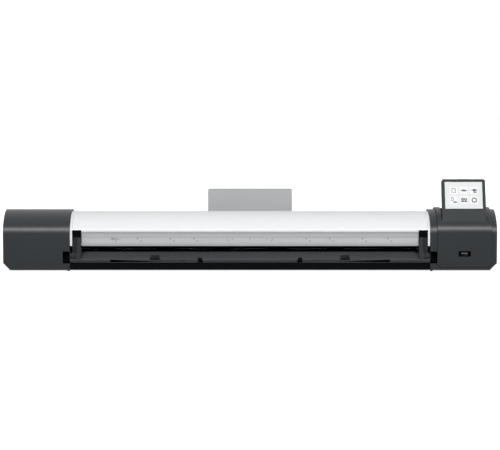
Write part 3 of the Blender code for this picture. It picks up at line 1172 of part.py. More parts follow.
def connectors():
    """Connector panel at the right rear with the power inlet, two data ports and the power button."""
    panel = box("connector_panel", (PANEL_LOW_X, PANEL_LOW_X + PANEL_WIDTH),
                (PANEL_BACK - PANEL_WALL, PANEL_BACK), (FLOOR_Z, PANEL_TOP), "steel")
    inlet, inlet_hole, low, back = port("power_inlet", INLET_X, INLET_WIDTH, INLET_HEIGHT, INLET_DEPTH,
                                        INLET_LIP, INLET_CAVITY, "near_black")
    middle = low + 0.5 * INLET_HEIGHT
    for number, (shift, rise) in enumerate(((-1, 0), (0, 1), (1, 0))):
        x = INLET_X + shift * INLET_PIN_PITCH
        z = middle + (2 * rise - 1) * 0.5 * INLET_PIN_DROP
        fuse(inlet, box(f"inlet_pin_{number}", (x - 0.5 * INLET_PIN_WIDTH, x + 0.5 * INLET_PIN_WIDTH),
                        (back - INLET_CAVITY - PORT_SHOULDER, back - INLET_PIN_SETBACK),
                        (z - 0.5 * INLET_PIN_HEIGHT, z + 0.5 * INLET_PIN_HEIGHT)))
    network_hole = port("network_port", NETWORK_X, NETWORK_WIDTH, NETWORK_HEIGHT, NETWORK_DEPTH,
                        NETWORK_LIP, NETWORK_CAVITY, "steel")[1]
    usb, usb_hole, low, back = port("rear_usb_port", REAR_USB_X, REAR_USB_WIDTH, REAR_USB_HEIGHT,
                                    REAR_USB_DEPTH, REAR_USB_LIP, REAR_USB_CAVITY, "steel")
    middle = low + 0.5 * REAR_USB_HEIGHT
    half = 0.5 * REAR_USB_TONGUE
    fuse(usb, box("rear_usb_tongue", (REAR_USB_X - half, REAR_USB_X + half),
                  (back - REAR_USB_CAVITY - PORT_SHOULDER, back - REAR_USB_TONGUE_SETBACK),
                  (middle - half, middle + half)))
    face = PANEL_BACK - PANEL_WALL - GAP
    radius, rim, collar = BUTTON_RADIUS, BUTTON_RADIUS + BUTTON_COLLAR, face - BUTTON_COLLAR
    stations = [(face - BUTTON_LENGTH, radius), (collar, radius), (collar, rim), (face, rim), (face, radius),
                (PANEL_BACK + BUTTON_PROUD, radius)]
    turned("power_button", stations, "Y", (BUTTON_X, BUTTON_Z), ROUND_SIDES, "near_black")
    button_hole = rod("button_hole", "Y", (BUTTON_X, BUTTON_Z), BUTTON_RADIUS + RUNNING_GAP,
                      PANEL_BACK - PANEL_WALL - OVERRUN, PANEL_BACK + OVERRUN, ROUND_SIDES)
    cut(panel, inlet_hole, network_hole, usb_hole, button_hole)


def board(name, x_span, y_span, blocks):
    """Circuit board on standoffs, with blocks placed by shares of the board for its larger components."""
    (x0, x1), (y0, y1) = x_span, y_span
    width, depth = x1 - x0, y1 - y0
    base = box(name, x_span, y_span, (BOARD_Z, BOARD_Z + BOARD_WALL), "board_green")
    for number, (left, right, front, back, height) in enumerate(blocks):
        fuse(base, box(f"{name}_block_{number}", (x0 + left * width, x0 + right * width),
                       (y0 + front * depth, y0 + back * depth),
                       (BOARD_Z + 0.5 * BOARD_WALL, BOARD_Z + BOARD_WALL + height)))
    for word_x, x in (("low", x0 + STANDOFF_MARGIN), ("high", x1 - STANDOFF_MARGIN)):
        for word_y, y in (("front", y0 + STANDOFF_MARGIN), ("back", y1 - STANDOFF_MARGIN)):
            fuse(base, rod(f"{name}_stand_{word_x}_{word_y}", "Z", (x, y), STANDOFF_RADIUS, FLOOR_Z,
                           BOARD_Z + 0.5 * BOARD_WALL, SMALL_SIDES))
    return base


def boards():
    board("main_board", (MAIN_BOARD_LOW_X, MAIN_BOARD_LOW_X + MAIN_BOARD_WIDTH),
          (MAIN_BOARD_FRONT, MAIN_BOARD_BACK), MAIN_BLOCK_SHARES)
    board("power_board", (-POWER_BOARD_HIGH_X, -POWER_BOARD_HIGH_X + POWER_BOARD_WIDTH),
          (POWER_BOARD_FRONT, POWER_BOARD_FRONT + POWER_BOARD_DEPTH), POWER_BLOCK_SHARES)


def front_usb():
    """Metal socket with its tongue, seated in the recess wall of the pod."""
    z = 0.5 * (USB_RECESS_BOTTOM + USB_RECESS_TOP)
    half, rise = 0.5 * USB_WIDTH, 0.5 * USB_HEIGHT
    socket = box("front_usb_socket", (POD_X - half, POD_X + half), (USB_FRONT, USB_FRONT + USB_LENGTH),
                 (z - rise, z + rise), "steel")
    hollow = box("front_usb_cavity", (POD_X - half + USB_SHELL, POD_X + half - USB_SHELL),
                 (USB_FRONT - OVERRUN, USB_FRONT + USB_LENGTH - 2 * USB_SHELL),
                 (z - rise + USB_SHELL, z + rise - USB_SHELL))
    tongue = box("front_usb_tongue", (POD_X - 0.5 * USB_TONGUE_WIDTH, POD_X + 0.5 * USB_TONGUE_WIDTH),
                 (USB_FRONT + USB_SHELL, USB_FRONT + USB_LENGTH - USB_SHELL), (z, z + USB_TONGUE))
    cut(socket, hollow)
    return fuse(socket, tongue)


def small_fixings():
    """Hinge pins and the two rubber strips that the scanner stands on."""
    for side, word in ((-1, "left"), (1, "right")):
        rod(f"lid_hinge_pin_{word}", "X", (HINGE_Y, HINGE_Z), HINGE_PIN_RADIUS,
            side * (LID_HALF - HINGE_PIN_RADIUS), side * (SIDE_PLATE_OUTER + HINGE_PIN_RADIUS), SMALL_SIDES,
            "steel")
        outer = side * (HALF_WIDTH - FOOT_END_SETBACK)
        box(f"foot_strip_{word}", (outer, outer - side * FOOT_WIDTH),
            (FOOT_Y_SETBACK, DEPTH - FOOT_Y_SETBACK), (-FOOT_HEIGHT, -GAP), "rubber")
    half = 0.5 * DISPLAY_WIDTH + DISPLAY_SIDE_CLEARANCE + 0.5 * POCKET_WALL - GAP
    rod("display_hinge_pin", "X", (DISPLAY_PIVOT_Y, DISPLAY_PIVOT_Z), DISPLAY_PIN_RADIUS, POD_X - half,
        POD_X + half, SMALL_SIDES, "steel")


def axis_empty(name, location):
    """An empty on a joint's axis, which carries the pieces that move about it."""
    made = bpy.data.objects.new(name, None)
    made.location = location
    bpy.context.collection.objects.link(made)
    return made


def carry(empty, names):
    """Parents pieces to an empty and leaves them where they are."""
    for name in names:
        item = bpy.data.objects[name]
        item.parent = empty
        item.matrix_parent_inverse = Matrix.Translation(-empty.location)


def build():
    clear_scene()
    base_pan()
    end_cover("left_end_cover", -1)
    right_end_cover()
    control_pod()
    document_tray()
    scan_bed()
    drive_train()
    connectors()
    boards()
    front_usb()
    small_fixings()
    rear_pieces()
    lid_cover()
    lid_inner()
    for word, y in (("front", FRONT_ROLLER_Y), ("rear", REAR_ROLLER_Y)):
        drive_roller(word, y)
        idler_roller(word, y)
    for side, word in ((-1, "left"), (1, "right")):
        side_plate(f"side_plate_{word}", side)
        bearing_block(f"bearing_block_{word}", side)
        entry_upright(f"entry_upright_{word}", side)
        document_support(f"document_support_{word}", side)
        lid_cheek(f"lid_cheek_{word}", side)
        release_lever(f"lid_release_lever_{word}", side)

    hinge = axis_empty("lid_axis", (0.0, HINGE_Y, HINGE_Z))
    carry(hinge, ["lid_cover", "lid_cheek_left", "lid_cheek_right", "lid_frame", "upper_guide", "scale_strip",
                  "plate_spring", "background_plate"])
    for side, word in ((-1, "left"), (1, "right")):
        carry(axis_empty(f"lever_axis_{word}", (side * lever_centre(), LEVER_PIVOT_Y, LEVER_PIVOT_Z)),
              [f"lid_release_lever_{word}"])
        carry(axis_empty(f"support_axis_{word}", (side * SUPPORT_PIVOT_X, SUPPORT_PIVOT_Y, TRAY_LIP_BOTTOM)),
              [f"document_support_{word}"])
    for word, y in (("front", FRONT_ROLLER_Y), ("rear", REAR_ROLLER_Y)):
        carry(axis_empty(f"{word}_roller_axis", (0.0, y, ROLLER_Z)),
              [f"{word}_roller_shaft", f"{word}_roller_cover", f"{word}_roller_pulley"])
        carry(axis_empty(f"{word}_idler_axis", (0.0, y, IDLER_Z)), [f"{word}_idler_roller"])
    carry(axis_empty("motor_axis", (-PULLEY_X, MOTOR_Y, MOTOR_Z)), ["motor_pulley"])
    carry(axis_empty("button_axis", (BUTTON_X, PANEL_BACK, BUTTON_Z)), ["power_button"])
    display_axis = axis_empty("display_axis", (POD_X, DISPLAY_PIVOT_Y, DISPLAY_PIVOT_Z))
    display_axis.rotation_euler.x = -DISPLAY_LEAN
    display_unit(display_axis)

    ground = axis_empty("scanner_origin", (0.0, 0.0, 0.0))
    for item in bpy.data.objects:
        if item.parent is None and item is not ground:
            item.parent = ground
    ground.location = (0.0, -0.5 * (RETURN_BACK - POD_FRONT_PROUD), FOOT_HEIGHT)


build()
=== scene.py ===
# %% [markdown]
# # A wide-format sheet scanner, dressed for its picture
# The solid model is fixed: every piece below is made round it, in metres, where the solids say.
# The front of the scanner faces -Y, +Z is up, and x = 0 is the middle of the paper's path.

# %% Load the solid model
import json
from math import acos, asin, cos, degrees, pi, radians, sin, sqrt

import bmesh
import bpy
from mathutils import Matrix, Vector


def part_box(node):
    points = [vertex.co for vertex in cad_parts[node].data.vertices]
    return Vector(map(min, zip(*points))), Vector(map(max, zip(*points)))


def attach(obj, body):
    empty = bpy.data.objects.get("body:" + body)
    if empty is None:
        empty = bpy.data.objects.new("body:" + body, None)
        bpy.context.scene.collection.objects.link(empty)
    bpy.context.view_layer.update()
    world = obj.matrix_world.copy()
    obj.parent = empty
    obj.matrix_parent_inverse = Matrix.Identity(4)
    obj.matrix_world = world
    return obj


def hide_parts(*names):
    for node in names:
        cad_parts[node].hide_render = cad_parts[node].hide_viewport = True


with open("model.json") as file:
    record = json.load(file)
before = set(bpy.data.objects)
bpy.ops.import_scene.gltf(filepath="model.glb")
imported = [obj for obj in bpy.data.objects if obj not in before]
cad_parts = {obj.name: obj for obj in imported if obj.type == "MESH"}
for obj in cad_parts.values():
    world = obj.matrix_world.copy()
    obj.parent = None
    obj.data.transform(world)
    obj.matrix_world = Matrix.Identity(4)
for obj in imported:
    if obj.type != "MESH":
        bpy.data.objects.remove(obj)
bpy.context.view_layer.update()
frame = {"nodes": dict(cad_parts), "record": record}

# %% [markdown]
# ## Where things are
# The housings' front face and the underside of the base pan are the two planes that everything on the real
# scanner is built from. They are read from the solids, so that later sizes can be given from them in millimetres.

# %% Two planes to measure from
MM = 0.001
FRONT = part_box("left_end_cover")[0].y
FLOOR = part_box("base_pan")[0].z
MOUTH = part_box("right_end_cover")[0].x
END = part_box("right_end_cover")[1].x


def side_point(y, z):
    """A side-view point, given in millimetres behind the front face and above the pan's underside."""
    return (FRONT + y * MM, FLOOR + z * MM)


print("front face at y =", round(FRONT, 4), " pan underside at z =", round(FLOOR, 4), " mouth half =", MOUTH)

# %% [markdown]
# ## The camera
# A long lens far away keeps the scanner's long front straight, as in a catalogue picture. It stands a little
# above the scanner and looks down by about 5 degrees, so that the tops of the housings just show.

# %% Camera
camera_data = bpy.data.cameras.new("camera")
camera_data.lens = 140
camera_data.sensor_width = 36
camera = bpy.data.objects.new("camera", camera_data)
camera.location = (0.0, -3.69, 0.4255)
camera.rotation_euler = (radians(84.63), 0.0, 0.0)
bpy.context.scene.collection.objects.link(camera)
bpy.context.scene.camera = camera
print("the scanner's 920 mm span", round(920 / 3600 * 140 / 36 * 500), "of the picture's 500 pixels")

# %% [markdown]
# ## Finishes
# Moulded plastic isn't one colour: the tool leaves a fine grain, and the sheen drifts a little over a long part.
# Each finish starts from one helper that puts a grain, a drift in tone and a drift in roughness on a shader.
# Everything is driven by Object coordinates, so that the grain stays on the part when the part moves.

# %% A helper for moulded plastic
def new_finish(name, colour, roughness, metallic=0.0, specular=0.5):
    """A material with its plain values set on the shader's own sockets."""
    made = bpy.data.materials.new(name)
    made.use_nodes = True
    shader = made.node_tree.nodes["Principled BSDF"]
    shader.inputs["Base Color"].default_value = (*colour, 1)
    shader.inputs["Roughness"].default_value = roughness
    shader.inputs["Metallic"].default_value = metallic
    shader.inputs["Specular IOR Level"].default_value = specular
    return made, made.node_tree.nodes, made.node_tree.links, shader


def noise(nodes, links, scale, detail=3.0, stretch=None):
    """A noise pattern on Object coordinates; stretch gives it a direction, as brushing has."""
    place = nodes.new("ShaderNodeTexCoord")
    mapping = nodes.new("ShaderNodeMapping")
    if stretch:
        mapping.inputs["Scale"].default_value = stretch
    pattern = nodes.new("ShaderNodeTexNoise")
    pattern.inputs["Scale"].default_value = scale
    pattern.inputs["Detail"].default_value = detail
    links.new(place.outputs["Object"], mapping.inputs["Vector"])
    links.new(mapping.outputs["Vector"], pattern.inputs["Vector"])
    return pattern


def spread(nodes, links, source, low, high):
    """Turns a pattern's middle values into numbers from low to high."""
    step = nodes.new("ShaderNodeMapRange")
    step.inputs["From Min"].default_value = 0.3
    step.inputs["From Max"].default_value = 0.7
    step.inputs["To Min"].default_value = low
    step.inputs["To Max"].default_value = high
    links.new(source, step.inputs["Value"])
    return step.outputs["Result"]


def tint(nodes, links, source, dark, light):
    """A colour that drifts between two tones with a pattern."""
    ramp = nodes.new("ShaderNodeValToRGB")
    ramp.color_ramp.elements[0].position = 0.3
    ramp.color_ramp.elements[0].color = (*dark, 1)
    ramp.color_ramp.elements[1].position = 0.7
    ramp.color_ramp.elements[1].color = (*light, 1)
    links.new(source, ramp.inputs["Fac"])
    return ramp.outputs["Color"]


def bump(nodes, links, source, shader, strength, distance, under=None):
    """Raises the surface by a pattern, on top of another bump if one is given."""
    made = nodes.new("ShaderNodeBump")
    made.inputs["Strength"].default_value = strength
    made.inputs["Distance"].default_value = distance
    links.new(source, made.inputs["Height"])
    if under:
        links.new(under.outputs["Normal"], made.inputs["Normal"])
    links.new(made.outputs["Normal"], shader.inputs["Normal"])
    return made


def moulded(name, colour, roughness, grain=900.0, depth=0.00004, drift=0.08, specular=0.5, rough_drift=0.05):
    """Moulded plastic: fine grain, a slow drift in tone and in sheen."""
    made, nodes, links, shader = new_finish(name, colour, roughness, specular=specular)
    slow = noise(nodes, links, 9.0, 4.0)
    dark = tuple(c * (1 - drift) for c in colour)
    light = tuple(c * (1 + drift) for c in colour)
    links.new(tint(nodes, links, slow.outputs["Fac"], dark, light), shader.inputs["Base Color"])
    fine = noise(nodes, links, grain, 2.0)
    links.new(spread(nodes, links, fine.outputs["Fac"], roughness - rough_drift, roughness + rough_drift),
              shader.inputs["Roughness"])
    bump(nodes, links, fine.outputs["Fac"], shader, 0.5, depth)
    return made


# %% The plastics
housing_grey = moulded("housing_grey", (0.0120, 0.0162, 0.0200), 0.41, 1100.0, 0.00002, 0.06, 0.55, 0.04)
frame_grey = moulded("frame_grey", (0.0400, 0.0455, 0.0460), 0.60, 1300.0, 0.00004, 0.05, 0.18)
lid_white = moulded("lid_white", (0.83, 0.84, 0.85), 0.38, 500.0, 0.00001, 0.01, 0.5)
tray_grey = moulded("tray_grey", (0.074, 0.080, 0.086), 0.52, 1100.0, 0.00005, 0.06, 0.35)
# Painted shade: a darker copy of the tray's grey, for the lip's upright front, the uprights' ridges and feet, and the
# supports under the lip.
tray_plastic_shaded = moulded("tray_plastic_shaded", (0.030, 0.033, 0.036), 0.55, 1100.0, 0.00004, 0.06, 0.20)
# Painted shade: a still darker copy of the tray's grey, for the uprights' outer webs.
tray_plastic_deep_shade = moulded("tray_plastic_deep_shade", (0.016, 0.018, 0.020), 0.60, 1100.0, 0.00004, 0.06, 0.15)
# Painted shade: a dark grey for the flange behind each fingertip notch, standing for the shade in the notch.
notch_shade_grey = moulded("notch_shade_grey", (0.018, 0.021, 0.023), 0.60, 1100.0, 0.00004, 0.06, 0.10)
# Near-black for the base pan and the tray's tabs; it also paints shade on the side plates and inside the housings'
# notches.
pan_black = moulded("pan_black", (0.0030, 0.0042, 0.0055), 0.60, 900.0, 0.00004, 0.08, 0.03)
# Near-black plastic for the caps, the button and the sockets; it also paints shade on the supports, at the pins, along
# the tray's back edge and in the socket recess.
near_black_and_shade = moulded("near_black_and_shade", (0.0028, 0.0034, 0.0040), 0.50, 1200.0, 0.00004, 0.08, 0.04)
screen_white = moulded("screen_white", (0.80, 0.82, 0.82), 0.25, 700.0, 0.000005, 0.01, 0.5)
plate_white = moulded("plate_white", (0.82, 0.82, 0.81), 0.42, 600.0, 0.00001, 0.02, 0.4)
print(len(bpy.data.materials), "materials so far")

# %% [markdown]
# Metals show their working more than their colour. Drawn and brushed metal is streaked along its length, so the
# noise is stretched along X; rubber is dull and dusty; glass is a clear pane with a faint green body.

# %% The metals, rubber and glass
def streaked(name, colour, roughness, metallic, stretch=(2.0, 260.0, 260.0), drift=0.10, specular=0.5):
    """Metal with fine streaks along one direction."""
    made, nodes, links, shader = new_finish(name, colour, roughness, metallic, specular)
    lines = noise(nodes, links, 6.0, 5.0, stretch)
    dark = tuple(c * (1 - drift) for c in colour)
    light = tuple(min(1.0, c * (1 + drift)) for c in colour)
    links.new(tint(nodes, links, lines.outputs["Fac"], dark, light), shader.inputs["Base Color"])
    links.new(spread(nodes, links, lines.outputs["Fac"], roughness - 0.08, roughness + 0.08),
              shader.inputs["Roughness"])
    bump(nodes, links, lines.outputs["Fac"], shader, 0.3, 0.00001)
    return made


strip_silver = streaked("strip_silver", (0.545, 0.555, 0.565), 0.42, 0.35, drift=0.05)
# Painted shade: a dark grey for the thin border round the return guide's face, standing for the shade on its edges.
border_shade_grey = moulded("border_shade_grey", (0.16, 0.165, 0.17), 0.5, 800.0, 0.00003, 0.03, 0.2)
guide_grey = moulded("guide_grey", (0.445, 0.458, 0.468), 0.45, 800.0, 0.00003, 0.03, 0.4)
steel = streaked("steel", (0.56, 0.57, 0.58), 0.32, 1.0)
dark_steel = streaked("dark_steel", (0.045, 0.047, 0.050), 0.40, 0.7)
aluminium = streaked("aluminium", (0.66, 0.67, 0.68), 0.38, 1.0)
brass = streaked("brass", (0.70, 0.52, 0.24), 0.30, 1.0)
rubber = moulded("rubber", (0.008, 0.008, 0.009), 0.85, 700.0, 0.00004, 0.15, 0.08)
board_green = moulded("board_green", (0.020, 0.110, 0.050), 0.38, 300.0, 0.00003, 0.20, 0.5)

glass, _, _, glass_shader = new_finish("glass", (0.86, 0.95, 0.92), 0.03)
glass_shader.inputs["Transmission Weight"].default_value = 0.9
glass_shader.inputs["IOR"].default_value = 1.5
print("finishes:", sorted(m.name for m in (strip_silver, guide_grey, steel, aluminium, brass, rubber, glass)))

# %% [markdown]
# Every solid that stays in view gets a finish by its material slot. The ones that a modelled piece stands for
# are hidden later, piece by piece.

# %% Finishes for the solids
SLOT_FINISH = {
    "housing": housing_grey, "lid_white": lid_white, "tray_grey": tray_grey, "pan_black": pan_black,
    "motor_black": near_black_and_shade, "black_plastic": near_black_and_shade, "silver": strip_silver, "aluminium": aluminium,
    "guide_grey": guide_grey, "steel": steel, "rubber": rubber, "glass": glass, "screen": screen_white,
    "board_green": board_green, "brass": brass, "white_plate": plate_white,
}
slot_of = {entry["node"]: entry["material_slot"] for entry in frame["record"]["subparts"]}
# Painted shade: the side plates take the pan's near-black, so that where they show through the notches they read as
# shade.
NOTCH_SHADED_PLATES = ("side_plate_left", "side_plate_right")
for name, solid in frame["nodes"].items():
    for holder in solid.material_slots:
        holder.material = pan_black if name in NOTCH_SHADED_PLATES else SLOT_FINISH[slot_of[name]]
print(len(frame["nodes"]), "solids have a finish")

# %% [markdown]
# ## How the pieces are modelled
# Nearly every moulding here is one side view pushed along the scanner, as an extrusion is. By hand that is a plane
# laid on the first run of the side view, an extrude for each straight run and a spin for each round. The ends
# are then filled. The helper does just that, so each piece below is a short list of runs and turns.

# %% Working helpers
def clear_selection():
    if bpy.context.object and bpy.context.object.mode != "OBJECT":
        bpy.ops.object.mode_set(mode="OBJECT")
    bpy.ops.object.select_all(action="DESELECT")


def make_active(piece):
    clear_selection()
    piece.select_set(True)
    bpy.context.view_layer.objects.active = piece


def pick(kind, test):
    """In edit mode, selects only the parts of a kind ("VERT", "EDGE" or "FACE") whose middle and normal pass."""
    bpy.ops.mesh.select_mode(type=kind)
    bpy.ops.mesh.select_all(action="DESELECT")
    shape = bmesh.from_edit_mesh(bpy.context.object.data)
    shape.normal_update()
    if kind == "VERT":
        found = [v for v in shape.verts if test(v.co, v.normal)]
    elif kind == "EDGE":
        found = [e for e in shape.edges
                 if test((e.verts[0].co + e.verts[1].co) / 2, (e.verts[1].co - e.verts[0].co).normalized())]
    else:
        found = [f for f in shape.faces if test(f.calc_center_median(), f.normal)]
    for part in found:
        part.select_set(True)
    shape.select_flush_mode()
    bmesh.update_edit_mesh(bpy.context.object.data)
    return len(found)


def along_axis(axis, a, b, along):
    return Vector({"X": (along, a, b), "Y": (a, along, b), "Z": (a, b, along)}[axis])


def strip(name, axis, low, high, runs):
    """An open strip: a plane on the first run, then an extrude to each point (a, b) or a spin for each turn
    (centre a, centre b, degrees, steps). Degrees are positive from the first coordinate towards the second."""
    clear_selection()
    stand = (pi / 2, 0, 0) if axis == "Z" else (0, 0, 0)
    bpy.ops.mesh.primitive_plane_add(size=high - low, rotation=stand)
    piece = bpy.context.object
    piece.name = piece.data.name = name
    bpy.ops.object.transform_apply(location=True, rotation=True, scale=True)
    across = 1 if axis == "X" else 0
    ends = [[v.index for v in piece.data.vertices if v.co[across] < 0],
            [v.index for v in piece.data.vertices if v.co[across] > 0]]
    here = [sum((piece.data.vertices[i].co for i in end), Vector()) / 2 for end in ends]
    bpy.ops.object.mode_set(mode="EDIT")
    for end, now, target in zip(ends, here, runs):
        bpy.ops.mesh.select_mode(type="VERT")
        bpy.ops.mesh.select_all(action="DESELECT")
        shape = bmesh.from_edit_mesh(piece.data)
        shape.verts.ensure_lookup_table()
        for index in end:
            shape.verts[index].select_set(True)
        shape.select_flush_mode()
        bmesh.update_edit_mesh(piece.data)
        bpy.ops.transform.translate(value=along_axis(axis, *target, (low + high) / 2) - now)
    bpy.ops.mesh.select_mode(type="EDGE")
    spot = Vector(runs[1])
    sign = 1 if axis == "Y" else -1
    for run in runs[2:]:
        if len(run) == 2:
            step = Vector(run) - spot
            bpy.ops.mesh.extrude_region_move(TRANSFORM_OT_translate={"value": along_axis(axis, *step, 0.0)})
            spot = Vector(run)
        else:
            centre, turn = Vector(run[:2]), radians(run[2])
            bpy.ops.mesh.spin(steps=run[3], angle=sign * turn, center=along_axis(axis, *centre, 0.0),
                              axis=along_axis(axis, 0, 0, 1))
            arm = spot - centre
            spot = centre + Vector((arm.x * cos(turn) - arm.y * sin(turn), arm.x * sin(turn) + arm.y * cos(turn)))
    bpy.ops.mesh.select_all(action="SELECT")
    bpy.ops.mesh.remove_doubles(threshold=0.000002)
    bpy.ops.object.mode_set(mode="OBJECT")
    return piece


def bar(name, axis, low, high, runs):
    """A closed bar: a strip brought back to its start, with both ends filled."""
    piece = strip(name, axis, low, high, list(runs) + [tuple(runs[0])])
    where = "XYZ".index(axis)
    bpy.ops.object.mode_set(mode="EDIT")
    for level in (low, high):
        pick("VERT", lambda co, normal: abs(co[where] - level) < 0.000005)
        bpy.ops.mesh.edge_face_add()
    bpy.ops.mesh.select_all(action="SELECT")
    bpy.ops.mesh.normals_make_consistent(inside=False)
    bpy.ops.object.mode_set(mode="OBJECT")
    return piece


def block(name, low, high):
    """A cube at its place and size, ready to be bevelled or to cut with."""
    clear_selection()
    bpy.ops.mesh.primitive_cube_add(size=1, location=[(a + b) / 2 for a, b in zip(low, high)],
                                    scale=[b - a for a, b in zip(low, high)])
    piece = bpy.context.object
    piece.name = piece.data.name = name
    bpy.ops.object.transform_apply(location=True, rotation=True, scale=True)
    return piece


def side_block(name, side, a, b, low, high):
    """A cube at one end of the scanner, from x = a to b in millimetres out from the middle, and from one side-view
    point (y, z) to another."""
    return block(name, (min(side * a, side * b) * MM, *side_point(*low)),
                 (max(side * a, side * b) * MM, *side_point(*high)))


def rod(name, axis, centre, radius, low, high, sides=32):
    """A cylinder lying along an axis, between two levels."""
    clear_selection()
    turn = {"X": (0, pi / 2, 0), "Y": (pi / 2, 0, 0), "Z": (0, 0, 0)}[axis]
    bpy.ops.mesh.primitive_cylinder_add(vertices=sides, radius=radius, depth=high - low, rotation=turn,
                                        location=along_axis(axis, *centre, (low + high) / 2))
    piece = bpy.context.object
    piece.name = piece.data.name = name
    bpy.ops.object.transform_apply(location=True, rotation=True, scale=True)
    return piece


def apply_modifier(piece, kind, **values):
    made = piece.modifiers.new(kind.lower(), kind)
    for key, value in values.items():
        setattr(made, key, value)
    make_active(piece)
    bpy.ops.object.modifier_apply(modifier=made.name)
    return piece


def combine(piece, operation, *others):
    """Cuts, joins or meets a piece with others, which are used up."""
    for other in others:
        apply_modifier(piece, "BOOLEAN", operation=operation, solver="EXACT", object=other)
        bpy.data.objects.remove(other, do_unlink=True)
    return piece


def round_edges(piece, width, segments=3, angle=30):
    """Rounds the sharp edges with a bevel, then shades the piece smooth up to that angle."""
    apply_modifier(piece, "BEVEL", width=width, segments=segments, limit_method="ANGLE",
                   angle_limit=radians(angle), use_clamp_overlap=True, miter_outer="MITER_ARC")
    smooth(piece, angle)
    return apply_modifier(piece, "WEIGHTED_NORMAL", keep_sharp=True, weight=80)


def smooth(piece, angle=30):
    make_active(piece)
    bpy.ops.object.shade_smooth_by_angle(angle=radians(angle))
    return piece


def place(piece, finish, body, slot, *nodes):
    """Gives a piece its finish, its body and the solids that it stands for. The slot argument is not used."""
    piece.data.materials.clear()
    piece.data.materials.append(finish)
    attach(piece, body)
    if nodes:
        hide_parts(*nodes)
    size = [round(1000 * d, 1) for d in piece.dimensions]
    print(f"{piece.name}: {size} mm, {len(piece.data.polygons)} faces")
    return piece


# %% [markdown]
# ## The end housings
# Each housing is a moulded cap with an upright front, a soft crease, a long roll over the top and a rounder
# back. The rolls are true arcs, so they are spun, which keeps the highlight on the crease clean. The same
# runs, drawn 2.5 mm further in, make the hollow.

# %% The housings' side view
HOUSING_TOP, ROLL, CREASE, SLOPE = 108.6, 74.0, 26.0, 55.0
BACK_ROLL, BACK_ANGLE, BACK_CORNER = 150.0, 36.0, 40.0
APEX = ROLL * sin(radians(SLOPE))
DEPTH = APEX + (BACK_ROLL - BACK_CORNER) * sin(radians(BACK_ANGLE)) + BACK_CORNER


def metres(runs):
    """Side-view runs in millimetres, from the two planes, to metres in the scanner's frame."""
    return [side_point(*run) if len(run) == 2 else (*side_point(*run[:2]), *run[2:]) for run in runs]


def front_turns(inset, top, roll, front):
    """The upright front, the crease and the roll up to the top."""
    crease = CREASE - inset
    centre_z = top - roll
    reach = roll - inset
    across = APEX - (front + inset) - crease
    rise = sqrt((reach - crease) ** 2 - across ** 2)
    slope = degrees(acos(rise / (reach - crease)))
    return [(front + inset, centre_z + rise), (front + inset + crease, centre_z + rise, slope - 90, 12),
            (APEX, centre_z, -slope, 28)]


def back_turns(inset):
    """From the top over the back, and down to the upright back face."""
    reach = BACK_ROLL - BACK_CORNER
    centre = (APEX, HOUSING_TOP - BACK_ROLL)
    corner = (centre[0] + reach * sin(radians(BACK_ANGLE)), centre[1] + reach * cos(radians(BACK_ANGLE)))
    return [(*centre, -BACK_ANGLE, 16), (*corner, BACK_ANGLE - 90, 14)]


def housing_runs(inset, bottom):
    return metres([(inset, bottom)] + front_turns(inset, HOUSING_TOP, ROLL, 0.0) + back_turns(inset)
                  + [(DEPTH - inset, bottom)])


print("housing depth", round(DEPTH, 2), "mm, top of the roll", round(APEX, 1), "mm behind the front")

# %% [markdown]
# The outer lower corner of each housing is cut at 45 degrees. A bisect with its cut filled does that in one
# stroke. The notch for the tray's tab, the slots for the rails and the hollow are cut with helper bars.

# %% Make both housings
CHAMFER, WALL = 13.0, 2.5


def cut_corner(piece, side, inset):
    """Takes off the lower outer corner at 45 degrees."""
    reach = CHAMFER + inset * (sqrt(2) - 1) - inset
    make_active(piece)
    bpy.ops.object.mode_set(mode="EDIT")
    bpy.ops.mesh.select_all(action="SELECT")
    point = (side * (END - (inset + reach) * MM), 0.0, FLOOR)
    bpy.ops.mesh.bisect(plane_co=point, plane_no=(side, 0.0, -1.0), use_fill=True, clear_outer=True)
    bpy.ops.object.mode_set(mode="OBJECT")


def span(a, b):
    return (min(a, b), max(a, b))


def housing(side, word):
    inner, outer = side * MOUTH, side * END
    shell = bar(f"{word}_housing", "X", *span(inner, outer), housing_runs(0.0, 0.0))
    cut_corner(shell, side, 0.0)
    hollow = bar("hollow", "X", *span(inner + side * WALL * MM, outer - side * WALL * MM),
                 housing_runs(WALL, -4.0))
    cut_corner(hollow, side, WALL)
    nub = bar("nub", "X", *span(inner, inner + side * 4.5 * MM), metres([(0.5, -1.6), (0.5, 2), (8, 2), (8, -1.6)]))
    combine(shell, "UNION", nub)
    through = span(inner - side * 4 * MM, inner + side * 3 * MM)
    path_slot = bar("path_slot", "X", *through, metres([(40.5, -4), (40.5, 33.5), (DEPTH - 6.5, 33.5),
                                                        (DEPTH - 6.5, -4)]))
    pan_slot = bar("pan_slot", "X", *through, metres([(2.7, -4), (2.7, 13.8), (DEPTH - 2.7, 13.8),
                                                      (DEPTH - 2.7, -4)]))
    notch = bar("notch", "X", *span(inner - side * 4 * MM, inner + side * 13 * MM),
                metres([(-4, 12.5), (-4, 35), (19.5, 35), (19.5, 12.5)]))
    combine(shell, "DIFFERENCE", hollow, path_slot, pan_slot, notch)
    return shell


left_housing = housing(-1, "left")
right_housing = housing(1, "right")
# Painted shade: a near-black sheet closes the back of each notch, standing for the shade inside it.
for side, word in ((-1, "left"), (1, "right")):
    near, far = span(side * 336.4 * MM, side * 350 * MM)
    shade_sheet = block(f"notch_shade_{word}", (near, *side_point(19.7, 12)), (far, *side_point(20.7, 36)))
    round_edges(shade_sheet, 0.0003, 2)
    place(shade_sheet, pan_black, "base", "housing")
round_edges(left_housing, 0.0009)
place(left_housing, housing_grey, "base", "housing", "left_end_cover")

